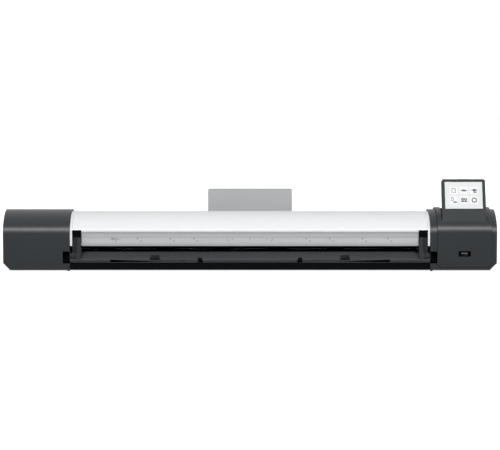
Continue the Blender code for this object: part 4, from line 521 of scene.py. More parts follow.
# %% [markdown]
# ## The control pod
# A raised shell sits in the right housing. It repeats the housing's side view 4 mm higher, and its edges are
# rounder, so it reads as a separate moulding with its own brighter crease.

# %% The pod and its recesses
POD_LOW, POD_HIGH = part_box("control_pod")[0].x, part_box("control_pod")[1].x
POD_X = (POD_LOW + POD_HIGH) / 2
POD_TOP, POD_ROLL, POD_FRONT, POD_BACK, POD_BOTTOM = 112.6, 73.6, -1.5, 126.0, 5.2


def pod_runs(inset, bottom, back):
    roll = BACK_ROLL + 4.0 - inset
    end = degrees(acos(sqrt(1 - ((back - APEX) / roll) ** 2)))
    return metres([(POD_FRONT + inset, bottom)] + front_turns(inset, POD_TOP, POD_ROLL, POD_FRONT)
                  + [(APEX, HOUSING_TOP - BACK_ROLL, -end, 14), (back, bottom)])


def pod_face(grow, low, high):
    """The pod from the front, in metres: a rectangle with its lower corners cut off."""
    left, right, cut = POD_LOW - grow * MM, POD_HIGH + grow * MM, 6.5 * MM
    low, high = FLOOR + low * MM, FLOOR + high * MM
    return [(left, high), (left, low + cut), (left + cut, low), (right - cut, low), (right, low + cut), (right, high)]


opening = bar("pod_opening", "Y", FRONT - 4 * MM, FRONT + (POD_BACK + 0.3) * MM, pod_face(0.3, POD_BOTTOM - 0.3, 117))
window = block("connector_window", (MOUTH + 23 * MM, *side_point(DEPTH - 6.5, 8.0)),
               (MOUTH + 103 * MM, *side_point(DEPTH + 4, 40.0)))
combine(right_housing, "DIFFERENCE", opening, window)
round_edges(right_housing, 0.0009)
place(right_housing, housing_grey, "base", "housing", "right_end_cover")

# %% [markdown]
# The display folds back into a pocket in the pod. The pocket's side view turns with the display: an arc round the
# hinge, and a flat floor where the display lies when it is folded.

# %% Cut the pod's pocket and socket recess
PIVOT = (12.9, 88.9)
LEAN, FOLDED, DISPLAY = 22.5, 82.0, 83.0


def pocket_runs(grow):
    reach = 5.8 + grow
    up = Vector((sin(radians(LEAN)), cos(radians(LEAN))))
    back = Vector((sin(radians(FOLDED)), cos(radians(FOLDED))))
    start = Vector(PIVOT) + Vector((-up.y, up.x)) * reach
    floor = Vector(PIVOT) + Vector((back.y, -back.x)) * reach + back * (DISPLAY + 1.8 + grow)
    top = start + up * DISPLAY
    turn = 180 + (LEAN - FOLDED)
    return metres([tuple(top), tuple(start), (*PIVOT, turn, 12), tuple(floor), (floor.x, top.y)])


pod = bar("control_pod_shell", "X", POD_LOW, POD_HIGH, pod_runs(0.0, POD_BOTTOM, POD_BACK))
hollow = bar("pod_hollow", "X", POD_LOW + 2 * MM, POD_HIGH - 2 * MM, pod_runs(3.0, POD_BOTTOM - 4, POD_BACK - 3.0))
low_hollow = bar("pod_low_hollow", "X", POD_LOW - 4 * MM, POD_HIGH + 4 * MM,
                 pod_runs(8.0, POD_BOTTOM - 4, POD_BACK - 3.0))
combine(pod, "DIFFERENCE", hollow, low_hollow)
half = 42.0
liner = bar("pod_liner", "X", POD_X - (half + 2) * MM, POD_X + (half + 2) * MM, pocket_runs(2.0))
skin = bar("pod_skin", "X", POD_LOW - 4 * MM, POD_HIGH + 4 * MM, pod_runs(0.0, POD_BOTTOM, POD_BACK))
combine(liner, "INTERSECT", skin)
usb_liner = block("usb_liner", (POD_X - 14 * MM, *side_point(-0.75, 23)), (POD_X + 14 * MM, *side_point(9.5, 38)))
combine(pod, "UNION", liner, usb_liner)
pocket = bar("pod_pocket", "X", POD_X - half * MM, POD_X + half * MM, pocket_runs(0.0))
usb_hole = block("usb_hole", (POD_X - 6.85 * MM, *side_point(0, 27.35)),
                 (POD_X + 6.85 * MM, *side_point(13.5, 33.65)))
combine(pod, "DIFFERENCE", pocket, usb_hole)
corners = bar("pod_corners", "Y", FRONT - 83 * MM, FRONT + 130 * MM, pod_face(0.0, POD_BOTTOM, 195))
combine(pod, "INTERSECT", corners)
print("pod faces before rounding:", len(pod.data.polygons))

# %% [markdown]
# The socket's recess is drawn in from the front as a real mould does it: the mouth is wide, the walls slope in, and
# the lower wall slopes most, so that a stick can be put in at an angle.

# %% The socket's recess
recess = block("usb_recess", (POD_X - 12 * MM, *side_point(-5.5, 25)), (POD_X + 12 * MM, *side_point(7.5, 36)))
make_active(recess)
bpy.ops.object.mode_set(mode="EDIT")
pick("FACE", lambda middle, normal: normal.y > 0.9)
bpy.ops.transform.resize(value=(0.84, 1.0, 0.80), center_override=(POD_X, FRONT + 7.5 * MM, FLOOR + 31.5 * MM))
bpy.ops.object.mode_set(mode="OBJECT")
combine(pod, "DIFFERENCE", recess)
round_edges(pod, 0.0016)
place(pod, housing_grey, "base", "housing", "control_pod")

# %% [markdown]
# A near-black lining on the recess's walls is painted shade, and the socket's nickel shell sits at its back with a
# pale tongue inside it. The lining is the recess's own shape with a smaller copy of itself cut out.

# %% The socket and the painted shade lining its recess
def funnel(name, half_x, low, high, front, back):
    """A block that narrows towards the back, as the recess does."""
    made = block(name, (POD_X - half_x * MM, *side_point(front, low)), (POD_X + half_x * MM, *side_point(back, high)))
    make_active(made)
    bpy.ops.object.mode_set(mode="EDIT")
    pick("FACE", lambda middle, normal: normal.y > 0.9)
    bpy.ops.transform.resize(value=(0.84, 1.0, 0.80), center_override=(POD_X, FRONT + back * MM, FLOOR + 31.5 * MM))
    bpy.ops.object.mode_set(mode="OBJECT")
    return made


# Painted shade: the recess's walls are lined in near-black for the shade inside the recess.
recess_shade_lining = funnel("socket_recess_shade", 11.6, 25.35, 35.7, -1.3, 7.4)
combine(recess_shade_lining, "DIFFERENCE", funnel("inside", 11.0, 25.9, 35.2, -1.9, 7.0),
        block("socket_hole", (POD_X - 6.9 * MM, *side_point(-3, 27.3)), (POD_X + 6.9 * MM, *side_point(12, 33.7))))
round_edges(recess_shade_lining, 0.0002, 2)
place(recess_shade_lining, near_black_and_shade, "base", "black_plastic")

shell = block("socket_shell", (POD_X - 6.55 * MM, *side_point(4.5, 27.65)),
              (POD_X + 6.55 * MM, *side_point(20.5, 33.35)))
combine(shell, "DIFFERENCE", block("inside", (POD_X - 5.95 * MM, *side_point(2, 28.25)),
                                   (POD_X + 5.95 * MM, *side_point(19.5, 32.75))))
round_edges(shell, 0.0003, 2)
place(shell, dark_steel, "base", slot_of["front_usb_socket"], "front_usb_socket")
tongue = block("socket_tongue", (POD_X - 5.25 * MM, *side_point(5.5, 30.3)),
               (POD_X + 5.25 * MM, *side_point(19.7, 32.3)))
round_edges(tongue, 0.0003, 2)
place(tongue, guide_grey, "base", slot_of["front_usb_socket"])

# %% [markdown]
# ## The white lid
# The lid's cover is a thin shell. Its outer skin is drawn as an open strip, from the lower front edge over
# the nose and the top to the hinge, and Solidify gives it its wall.

# %% The lid's cover
INSET = 3.5
LID_ROLL = ROLL - INSET
NOSE_RADIUS = 5.0
NOSE = degrees(asin((APEX - INSET - NOSE_RADIUS) / (LID_ROLL - NOSE_RADIUS)))
NOSE_AT = (INSET + NOSE_RADIUS, HOUSING_TOP - ROLL + (LID_ROLL - NOSE_RADIUS) * cos(radians(NOSE)))
HINGE = (APEX + (BACK_ROLL - INSET - 7) * sin(radians(33)), HOUSING_TOP - BACK_ROLL + (BACK_ROLL - INSET - 7) * cos(radians(33)))
LID_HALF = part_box("lid_cover")[1].x


def lid_skin():
    """The lid's outer path from its lower front edge to the top of the hinge barrel."""
    under = (NOSE_AT[0] - NOSE_RADIUS * cos(radians(60)), NOSE_AT[1] - NOSE_RADIUS * sin(radians(60)))
    return [(9.0, 63.0), (9.0, under[1] - (9.0 - under[0]) / sqrt(3)), under, (*NOSE_AT, -(150.0 - NOSE), 16),
            (APEX, HOUSING_TOP - ROLL, -NOSE, 30), (APEX, HOUSING_TOP - BACK_ROLL, -33.0, 18)]


cover = strip("lid_shell", "X", -LID_HALF, LID_HALF, metres(lid_skin()))
apply_modifier(cover, "SOLIDIFY", thickness=2.5 * MM, offset=-1)
make_active(cover)
bpy.ops.object.mode_set(mode="EDIT")
bpy.ops.mesh.select_all(action="SELECT")
bpy.ops.mesh.normals_make_consistent(inside=False)
bpy.ops.object.mode_set(mode="OBJECT")
print("lid skin box", [round(1000 * d, 1) for d in cover.dimensions])

# %% The lid's barrel and the notches for the release caps
barrel = rod("barrel", "X", side_point(*HINGE), 7 * MM, -LID_HALF, LID_HALF, 48)
combine(cover, "UNION", barrel)
for side in (-1, 1):
    notch = side_block("cap_notch", side, 314.4, 336, (0, 59), (13, 74.4))
    combine(cover, "DIFFERENCE", notch)
round_edges(cover, 0.0007)
place(cover, lid_white, "lid", "lid_white", "lid_cover")

# %% [markdown]
# The lid's end walls are the same side view as the cover, closed across the bottom, with two ears that hold the
# thin rollers. They are moulded white too, and show as a narrow white line beside each dark housing.

# %% The lid's end walls
def cheek_runs():
    """Side view of an end wall, from the nose over the top, round the hinge and back along the bottom."""
    ears = []
    for y in (130.0, 50.0):
        ears += [(y + 6, 45.0), (y + 6, 33.8), (y - 6, 33.8), (y - 6, 45.0)]
    return metres([(INSET, 45.0), (INSET, NOSE_AT[1]), (*NOSE_AT, NOSE - 90.0, 6)] + lid_skin()[4:]
                  + [(*HINGE, 33.0 - 180.0, 14)] + ears)


for side, word in ((-1, "left"), (1, "right")):
    inner, outer = side * (MOUTH - 4.5 * MM), side * (MOUTH - 0.5 * MM)
    cheek = bar(f"lid_end_{word}", "X", *span(inner, outer), cheek_runs())
    web_pin = rod("lever_pin", "X", side_point(13.5, 50), 2.5 * MM, *span(side * 318.95 * MM, side * 334 * MM))
    combine(cheek, "UNION", web_pin)
    for y, z, bore in ((*HINGE, 3.3), (50.0, 38.3, 2.3), (130.0, 38.3, 2.3)):
        combine(cheek, "DIFFERENCE", rod("bore", "X", side_point(y, z), bore * MM,
                                         *span(inner - side * MM, outer + side * MM)))
    round_edges(cheek, 0.0006)
    place(cheek, lid_white, "lid", "lid_white", f"lid_cheek_{word}")

# %% [markdown]
# ## The scale strip
# A satin strip under the nose shows where each paper width goes. Its lower edge is rolled over, and its marks
# are printed, so they are only a hair proud. The ticks are modelled once and copied along the strip.

# %% Strip and ticks
def fused(name, pieces):
    """Joins copies into one object; they may overlap, as printed marks do."""
    make_active(pieces[0])
    for piece in pieces:
        piece.select_set(True)
    bpy.ops.object.join()
    made = bpy.context.object
    made.name = made.data.name = name
    return made


STRIP_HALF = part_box("scale_strip")[1].x
scale = bar("scale_bar", "X", -STRIP_HALF, STRIP_HALF,
            metres([(9.0, 51.6), (9.0, 62.1), (11.2, 62.1), (11.2, 44.1), (10.7, 44.1), (10.2, 45.4), (9.65, 47.2),
                    (9.2, 49.4)]))
round_edges(scale, 0.0002, 2)
place(scale, strip_silver, "lid", "silver", "scale_strip")

rail = bar("strip_rail", "X", -STRIP_HALF, STRIP_HALF, metres([(9.05, 61.6), (8.3, 61.8), (8.3, 65.8), (6.5, 69.5),
                                                               (9.05, 68.1)]))
round_edges(rail, 0.0002, 2)
place(rail, strip_silver, "lid", "silver")

mark_grey = moulded("mark_grey", (0.22, 0.225, 0.23), 0.5, 900.0, 0.00001, 0.05)
ticks = [block("line", (-STRIP_HALF + MM, *side_point(8.96, 60.3)), (STRIP_HALF - MM, *side_point(9.05, 60.85)))]
for number in range(-30, 31):
    x, high = number * 10 * MM, 2.6 if number % 5 == 0 else 1.4
    ticks.append(block("tick", (x - 0.2 * MM, *side_point(8.97, 59.7 - high)),
                       (x + 0.2 * MM, *side_point(9.05, 59.7))))
for side in (-1, 1):
    for width in (105.0, 148.5, 210.0, 257.0):
        x = side * width
        arrow = bar("arrow", "Y", FRONT + 8.96 * MM, FRONT + 9.05 * MM,
                    [((x + a) * MM, FLOOR + z * MM) for a, z in ((-1.9, 59.4), (1.9, 59.4), (0.0, 55.6))])
        ticks += [arrow, block("mark", ((x + 5.4) * MM, *side_point(8.96, 52.4)),
                               ((x + 8.2) * MM, *side_point(9.05, 54.4)))]
    ticks.append(bar("slope", "Y", FRONT + 8.96 * MM, FRONT + 9.05 * MM,
                     [(side * a * MM, FLOOR + z * MM) for a, z in ((38.0, 52.6), (39.4, 52.6), (44.4, 58.6),
                                                                   (43.0, 58.6))]))
    ticks.append(block("mark", (side * 32.5 * MM - 1.2 * MM, *side_point(8.96, 56.8)),
                       (side * 32.5 * MM + 1.2 * MM, *side_point(9.05, 58.6))))
ticks.append(block("wide_mark", (-259 * MM, *side_point(8.96, 56.0)), (-242 * MM, *side_point(9.05, 56.9))))
ticks.append(block("wide_mark", (-259 * MM, *side_point(8.96, 58.2)), (-246 * MM, *side_point(9.05, 59.1))))
ticks.append(block("centre_mark", (-0.55 * MM, *side_point(8.96, 54.0)), (0.55 * MM, *side_point(9.05, 59.7))))
place(fused("scale_ticks", ticks), mark_grey, "lid", "silver")

# %% [markdown]
# ## Release caps
# At each end of the mouth a ribbed black cap is pressed to let the lid go. Five shallow ribs stop the thumb from
# slipping. The cap, its stem and its hook are one moulding, so they are drawn apart and joined with a union.

# %% Caps on their levers
for side, word in ((-1, "left"), (1, "right")):
    low, high = LID_HALF / MM - 16.5, LID_HALF / MM - 0.3
    pitch = (high - low) / 5
    runs = [(side * low, 8.0)]
    for rib in range(5):
        left = low + rib * pitch
        runs += [(side * left, 3.3), (side * (left + 0.22 * pitch), 2.5), (side * (left + 0.78 * pitch), 2.5)]
    runs += [(side * high, 3.3), (side * high, 8.0)]
    cap = bar(f"release_cap_{word}", "Z", FLOOR + 61.7 * MM, FLOOR + 73 * MM,
              [(x * MM, FRONT + y * MM) for x, y in runs])
    middle = (low + high + 0.3) / 2
    web = span(side * (middle - 4) * MM, side * (middle + 4) * MM)
    stem = bar("stem", "X", *web, metres([(7.2, 68.0), (13.0, 68.0), (18.5, 50.0), (8.5, 50.0), (7.2, 62.5)]))
    boss = rod("boss", "X", side_point(13.5, 50), 5 * MM, *web)
    hook = bar("hook", "X", *web, metres([(11.0, 50), (16.0, 50), (16.0, 39.5), (22.5, 39.5), (22.5, 35.5),
                                          (11.0, 35.5)]))
    combine(cap, "UNION", stem, boss, hook)
    combine(cap, "DIFFERENCE", rod("bore", "X", side_point(13.5, 50), 2.8 * MM, web[0] - MM, web[1] + MM))
    round_edges(cap, 0.0003, 2)
    place(cap, near_black_and_shade, f"release_{word}", slot_of[f"lid_release_lever_{word}"], f"lid_release_lever_{word}")

# %% [markdown]
# ## Entry uprights
# Under each cap a curved arm leads the edge of a sheet into the mouth. From the front it is an S that swells into
# a round foot; across its depth it steps from a thin outer web to a fuller inner ridge, which catches the light.
# The web, the ridge and the foot are drawn one by one, because each is rounded by its own amount. All three are
# painted in darker copies of the tray's grey as shade, the web darkest.

# %% Uprights
def upright_runs(side, grow_in, grow_out):
    """The S from the front, in metres; the two values move its inner and outer edges."""
    inner = STRIP_HALF / MM + 0.25 + grow_in
    outer = LID_HALF / MM - 0.5 + grow_out
    runs = [(inner, 61.2), (inner, 34.0)]
    for step in range(1, 13):
        turn = 0.5 * pi * step / 12
        runs.append((inner + 4.5 * (1 - cos(turn)), 34.0 - 14.5 * sin(turn)))
    for step in range(1, 24):
        share = step / 24
        runs.append((outer + (4.5 + min(0, grow_out) * 0.1) * sin(pi * share) ** 0.7, 19.5 + 14.5 * share))
    runs += [(outer, 34.5), (outer, 61.2)]
    return [(side * x * MM, FLOOR + z * MM) for x, z in runs]


for side, word in ((-1, "left"), (1, "right")):
    slope_cut = metres([(-4.0, 18.65), (40.5, 32.3), (40.5, 0.0), (-4.0, 0.0)])
    across = span(side * 305 * MM, side * 345 * MM)
    web = bar(f"upright_{word}", "Y", FRONT + 2.2 * MM, FRONT + 5.0 * MM, upright_runs(side, 0.0, 0.0))
    ridge = bar(f"upright_ridge_{word}", "Y", FRONT + 0.8 * MM, FRONT + 4.0 * MM, upright_runs(side, 0.3, -8.6))
    foot = rod(f"upright_foot_{word}", "Y", (side * (LID_HALF / MM - 0.2) * MM, FLOOR + 27.5 * MM), 4.6 * MM,
               FRONT + 1.0 * MM, FRONT + 4.0 * MM, 40)
    # Painted shade: the web takes the deepest copy of the tray's grey, and the ridge and foot a lighter one.
    for piece, finish, width in ((web, tray_plastic_deep_shade, 0.0007), (ridge, tray_plastic_shaded, 0.0014), (foot, tray_plastic_shaded, 0.0014)):
        combine(piece, "DIFFERENCE", bar("under", "X", *across, slope_cut))
        round_edges(piece, width, 4)
        place(piece, finish, "base", "tray_grey", *([f"entry_upright_{word}"] if piece is web else []))

# %% [markdown]
# ## The document tray
# The sloped table is folded from the lip up to the first roller. The lip's edge is soft, and its upright front is
# painted in a darker copy of the tray's grey as shade; the supports lie in pockets under it. A fingertip notch, with
# a flange turned down behind it, lets each support be pulled out; the flange is painted dark grey as the notch's
# shade.
# A near-black strip along the back edge is painted shade where the lid shades the tray, and a near-black disc in front
# of each support's pin is painted shade in the pocket's open end.

# %% Tray with its pockets and notches
tray = bar("tray", "X", -(MOUTH - 0.5 * MM), MOUTH - 0.5 * MM,
           metres([(0.5, 13.8), (0.5, 19.65), (40.5, 31.7), (40.5, 29.1), (2.5, 17.65), (2.5, 13.8)]))
for side in (-1, 1):
    tab = side_block("tab", side, 333.5, 346.5, (5, 16), (19, 18))
    gusset = side_block("gusset", side, 333.5, 335.5, (5, 16), (19, 19.5))
    keeper = side_block("keeper", side, 318.95, 326.95, (23, 24.5), (26, 39))
    combine(tab, "UNION", gusset)
    tab.name = "tray_tab_left" if side < 0 else "tray_tab_right"
    round_edges(tab, 0.0003, 2)
    place(tab, pan_black, "base", "tray_grey")
    combine(tray, "UNION", keeper)
    sink = side_block("sink", side, 88.1, 260.5, (-4, 9), (16.9, 19.3))
    finger = bar("finger", "Z", FLOOR + 13.8 * MM, FLOOR + 32 * MM,
                 [(side * x * MM, FRONT + y * MM) for x, y in ((168, -4), (187, -4), (185.5, 18), (169.5, 18))])
    edge = bar("edge", "Y", FRONT - 4 * MM, FRONT + 16.9 * MM,
               [(side * x * MM, FLOOR + z * MM) for x, z in ((168.6, 9), (260.5, 9), (260.5, 19.7), (168.6, 16.5))])
    scoop = bar("scoop", "X", *span(side * 169.5 * MM, side * 185.5 * MM),
                metres([(17.0, 23.9), (17.0, 30.0), (22.0, 30.0), (22.0, 25.4)]))
    combine(tray, "DIFFERENCE", sink, finger, edge, scoop)
    pin = rod("pin", "Z", (side * 97 * MM, FRONT + 8.5 * MM), 2.5 * MM, FLOOR + 13.8 * MM, FLOOR + 21 * MM)
    combine(tray, "UNION", pin)
round_edges(tray, 0.0005, 2)
place(tray, tray_grey, "base", "tray_grey", "document_tray")

for side, word in ((-1, "left"), (1, "right")):
    # Painted shade: the flange behind each notch is dark grey for the shade that falls in the notch.
    scoop_floor = bar(f"finger_scoop_{word}", "X", *span(side * 169.7 * MM, side * 185.3 * MM),
                      metres([(17.1, 19.5), (17.1, 24.5), (21.8, 25.9), (21.8, 25.4), (18.0, 24.2), (18.0, 19.5)]))
    round_edges(scoop_floor, 0.0001, 2)
    place(scoop_floor, notch_shade_grey, "base", "tray_grey")
    # Painted shade: a near-black disc in front of each pin stands for the shade in the pocket's open end.
    plug = rod(f"pivot_shade_{word}", "Y", (side * 93.4 * MM, FLOOR + 19 * MM), 4.3 * MM, FRONT + 0.05 * MM,
               FRONT + 8 * MM)
    combine(plug, "DIFFERENCE", bar("under_plug", "X", *span(side * 80 * MM, side * 104 * MM),
                                    metres([(-1, 10), (-1, 19.0), (0.52, 19.0), (0.52, 19.6), (12, 23.05),
                                            (12, 10)])))
    round_edges(plug, 0.0006)
    place(plug, near_black_and_shade, "base", "tray_grey")
bead = rod("tray_bead", "X", side_point(33.6, 30.2), 1.0 * MM, -310 * MM, 310 * MM, 20)
round_edges(bead, 0.0003, 2)
place(bead, tray_grey, "base", "tray_grey")
# Painted shade: a near-black strip along the tray's back edge, where the lid shades the tray.
back_shade = bar("tray_back_shade", "X", -310 * MM, 310 * MM, metres([(36.0, 30.4), (36.0, 30.75), (40.3, 32.0), (40.3, 31.6)]))
smooth(back_shade)
place(back_shade, near_black_and_shade, "base", "tray_grey")
# Painted shade: the lip's front takes the darker copy of the tray's grey, for its upright face that the lamps light
# less.
lip = bar("tray_lip", "X", -(MOUTH - 0.5 * MM), MOUTH - 0.5 * MM,
          metres([(0.5, 13.8), (0.0, 15.4), (0.0, 18.4), (0.5, 19.2)]))
for side in (-1, 1):
    gap = bar("gap", "Y", FRONT - 4 * MM, FRONT + 3.2 * MM,
              [(side * x * MM, FLOOR + z * MM) for x, z in ((88.1, 9), (260.5, 9), (260.5, 19.7), (168.6, 16.5),
                                                            (168.6, 19.3), (88.1, 19.3))])
    plug_hole = rod("plug_hole", "Y", (side * 93.4 * MM, FLOOR + 19 * MM), 4.4 * MM, FRONT - 4 * MM, FRONT + 1.5 * MM)
    combine(lip, "DIFFERENCE", gap, plug_hole)
smooth(lip)
place(lip, tray_plastic_shaded, "base", "tray_grey")

# %% [markdown]
# Each support is a flat bar on an upright pin, in a darker copy of the tray's grey as painted shade under the lip.
# It thins towards its end, which leaves the dark wedge under the lip that the eye reads as a handle, and two grooves
# on its front give a grip. A near-black strip on its thin end is painted shade in that wedge, and a near-black band
# round the front of the pin's end is painted shade too.

# %% Fold-out supports
for side, word in ((-1, "left"), (1, "right")):
    support = side_block(f"support_{word}", side, 97, 260, (0.6, 13.8), (16.4, 18.8))
    end = rod("end", "Z", (side * 97 * MM, FRONT + 8.5 * MM), 7.9 * MM, FLOOR + 13.8 * MM, FLOOR + 18.8 * MM, 48)
    combine(support, "UNION", end)
    taper = bar("taper", "Y", FRONT - 4 * MM, FRONT + 22 * MM,
                [(side * x * MM, FLOOR + z * MM) for x, z in ((167, 16.0), (264, 14.7), (264, 23), (167, 23))])
    hole = rod("hole", "Z", (side * 97 * MM, FRONT + 8.5 * MM), 2.8 * MM, FLOOR + 10 * MM, FLOOR + 23 * MM)
    combine(support, "DIFFERENCE", taper, hole)
    for x in (123.6, 128.2):
        rib = block("rib", (side * x * MM - 0.7 * MM, *side_point(-1, 14.2)),
                    (side * x * MM + 0.7 * MM, *side_point(2.4, 20.0)))
        combine(support, "DIFFERENCE", rib)
    round_edges(support, 0.0004, 2)
    place(support, tray_plastic_shaded, f"support_{word}", "tray_grey", f"document_support_{word}")
    # Painted shade: a near-black strip on the thin end, for the shade in the wedge under the lip.
    wedge_strip_shade = bar(f"support_wedge_shade_{word}", "Y", FRONT + 0.75 * MM, FRONT + 16.2 * MM,
               [(side * x * MM, FLOOR + z * MM) for x, z in ((169, 15.2), (258, 14.2), (258, 15.0), (169, 16.2))])
    round_edges(wedge_strip_shade, 0.0002, 2)
    place(wedge_strip_shade, near_black_and_shade, f"support_{word}", "tray_grey")
    # Painted shade: a near-black band round the front of the pin's end, for the shade there.
    pin_band_shade = rod(f"support_end_shade_{word}", "Z", (side * 97 * MM, FRONT + 8.5 * MM), 8.05 * MM,
                 FLOOR + 14.2 * MM, FLOOR + 18.75 * MM, 48)
    near, far = span(side * 88.5 * MM, side * 97.7 * MM)
    combine(pin_band_shade, "INTERSECT", block("front_half", (near, *side_point(-1, 14)), (far, *side_point(5.5, 19))))
    round_edges(pin_band_shade, 0.0002, 2)
    place(pin_band_shade, near_black_and_shade, f"support_{word}", "tray_grey")

# %% [markdown]
# ## The base pan
# A folded steel channel, powder coated nearly black, closes the underside and shows as the dark band under the
# tray. Its folds have a real bend radius, and it is held by screws from below.

# %% Pan
PAN_BACK = DEPTH - 3.0
PAN_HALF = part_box("base_pan")[1].x
pan = bar("pan", "X", -PAN_HALF, PAN_HALF,
          metres([(3, 0), (3, 13.5), (18, 13.5), (18, 11.5), (5, 11.5), (5, 2), (PAN_BACK - 2, 2),
                  (PAN_BACK - 2, 29.3), (PAN_BACK, 29.3), (PAN_BACK, 0)]))
for side in (-1, 1):
    back_cut = side_block("back_cut", side, 335.7, 444, (PAN_BACK - 6, 2), (PAN_BACK + 4, 34))
    front_cut = side_block("front_cut", side, 338.5, 444, (-1, 2), (22, 18))
    combine(pan, "DIFFERENCE", back_cut, front_cut)
for x in range(-400, 401, 100):
    for y in (22, 140):
        combine(pan, "DIFFERENCE", rod("screw_seat", "Z", (x * MM, FRONT + y * MM), 3.4 * MM, FLOOR - MM,
                                       FLOOR + 0.7 * MM, 24))
round_edges(pan, 0.0007)
place(pan, pan_black, "base", "pan_black", "base_pan")

# %% [markdown]
# ## The display
# The display's frame is drawn upright about its own hinge and only then leaned back with the solids. Its lower
# edge is a barrel round the hinge, its top corners are rounded, and a small finger tab stands in the middle.

# %% Frame of the display
HALF_DISPLAY = 41.0
PIVOT_AT = Vector((POD_X, *side_point(*PIVOT)))


def leaned(piece):
    """Moves a piece from the hinge at the origin to the pod, leaned back by 22.5 degrees."""
    piece.location = PIVOT_AT
    piece.rotation_euler = (-radians(LEAN), 0, 0)
    make_active(piece)
    bpy.ops.object.transform_apply(location=True, rotation=True, scale=True)
    return piece


def small(points):
    return [tuple(v * MM if i < 2 else v for i, v in enumerate(p)) for p in points]


bezel = bar("display_frame", "X", -HALF_DISPLAY * MM, HALF_DISPLAY * MM,
            small([(-5, DISPLAY), (-5, 0), (0, 0, 180, 20), (5, DISPLAY)]))
make_active(bezel)
bpy.ops.object.mode_set(mode="EDIT")
pick("EDGE", lambda middle, along: abs(along.y) > 0.9 and middle.z > 82 * MM)
bpy.ops.mesh.bevel(offset=4 * MM, segments=8)
bpy.ops.object.mode_set(mode="OBJECT")
tab = block("tab", (-11 * MM, -2.5 * MM, 82 * MM), (11 * MM, 2.5 * MM, 84 * MM))
combine(bezel, "UNION", tab)
SCREEN_LOW, SCREEN_HIGH, SCREEN_HALF = 24.7, 77.3, 35.05
seat = block("seat", (-(SCREEN_HALF + 0.3) * MM, -9 * MM, (SCREEN_LOW - 0.3) * MM),
             ((SCREEN_HALF + 0.3) * MM, -3.4 * MM, (SCREEN_HIGH + 0.3) * MM))
bore = rod("bore", "X", (0, 0), 1.9 * MM, -45 * MM, 45 * MM)
combine(bezel, "DIFFERENCE", seat, bore)
round_edges(bezel, 0.0006)
place(leaned(bezel), frame_grey, "display", "housing", "display_bezel")

# %% [markdown]
# The panel is a pale lit sheet behind a flat pane. Six white tiles carry plain symbols: a page, a flat device, a
# plug, a page beside a device, two round figures and a dial. They are thin raised shapes, so they stay sharp.

# %% The panel and its tiles
panel = block("screen_panel", (-SCREEN_HALF * MM, -4.7 * MM, SCREEN_LOW * MM),
              (SCREEN_HALF * MM, -3.7 * MM, SCREEN_HIGH * MM))
round_edges(panel, 0.0001, 2)
panel_white = moulded("panel_white", (0.74, 0.765, 0.765), 0.5, 900.0, 0.000002, 0.01, 0.2)
tile_white = moulded("tile_white", (0.86, 0.875, 0.875), 0.5, 900.0, 0.000002, 0.005, 0.2)
icon_grey = moulded("icon_grey", (0.12, 0.125, 0.13), 0.5, 900.0, 0.000002, 0.05, 0.2)
place(leaned(panel), panel_white, "display", "screen", "display_screen")

COLUMNS, ROWS = (-18.4, 0.5, 19.5), (60.5, 41.4)


def slab(outline, low, high, name="symbol"):
    """A thin raised shape on the panel, from points in millimetres across and up."""
    return bar(name, "Y", low * MM, high * MM, [(x * MM, z * MM) for x, z in outline])


def box_outline(x, z, half_x, half_z):
    return [(x - half_x, z - half_z), (x + half_x, z - half_z), (x + half_x, z + half_z), (x - half_x, z + half_z)]


tiles = []
for x in COLUMNS:
    for z in ROWS:
        tile = slab(box_outline(x, z, 7.4, 7.2), -4.79, -4.6, "tile")
        make_active(tile)
        bpy.ops.object.mode_set(mode="EDIT")
        pick("EDGE", lambda middle, along: abs(along.y) > 0.9)
        bpy.ops.mesh.bevel(offset=1.2 * MM, segments=4)
        bpy.ops.object.mode_set(mode="OBJECT")
        tiles.append(tile)
place(leaned(fused("screen_tiles", tiles)), tile_white, "display", "screen")

# %% Plain symbols on the tiles
def ring(x, z, outer, inner, sides=28):
    made = rod("ring", "Y", (x * MM, z * MM), outer * MM, -4.9 * MM, -4.7 * MM, sides)
    return combine(made, "DIFFERENCE", rod("hole", "Y", (x * MM, z * MM), inner * MM, -5.2 * MM, -4.4 * MM, sides))


def page(x, z, half_x, half_z, line=0.5):
    """A page with a folded corner, drawn as an outline."""
    fold = 0.7 * half_x
    rim = slab([(x - half_x, z - half_z), (x + half_x, z - half_z), (x + half_x, z + half_z - fold),
                (x + half_x - fold, z + half_z), (x - half_x, z + half_z)], -4.9, -4.7)
    inside = slab([(x - half_x + line, z - half_z + line), (x + half_x - line, z - half_z + line),
                   (x + half_x - line, z + half_z - fold - line), (x + half_x - fold - line, z + half_z - line),
                   (x - half_x + line, z + half_z - line)], -5.2, -4.4)
    return combine(rim, "DIFFERENCE", inside)


def device(x, z, half_x, tall):
    """A low, wide machine: a flat body with a rounded top."""
    return [slab([(x + a * half_x, z + b * tall) for a, b in
                  ((-1, -0.3), (-0.55, -1), (0.55, -1), (1, -0.3), (1, 0.2), (0.35, 0.8), (0, 1.4), (-0.35, 0.8),
                   (-1, 0.2))],
                 -4.9, -4.7)]


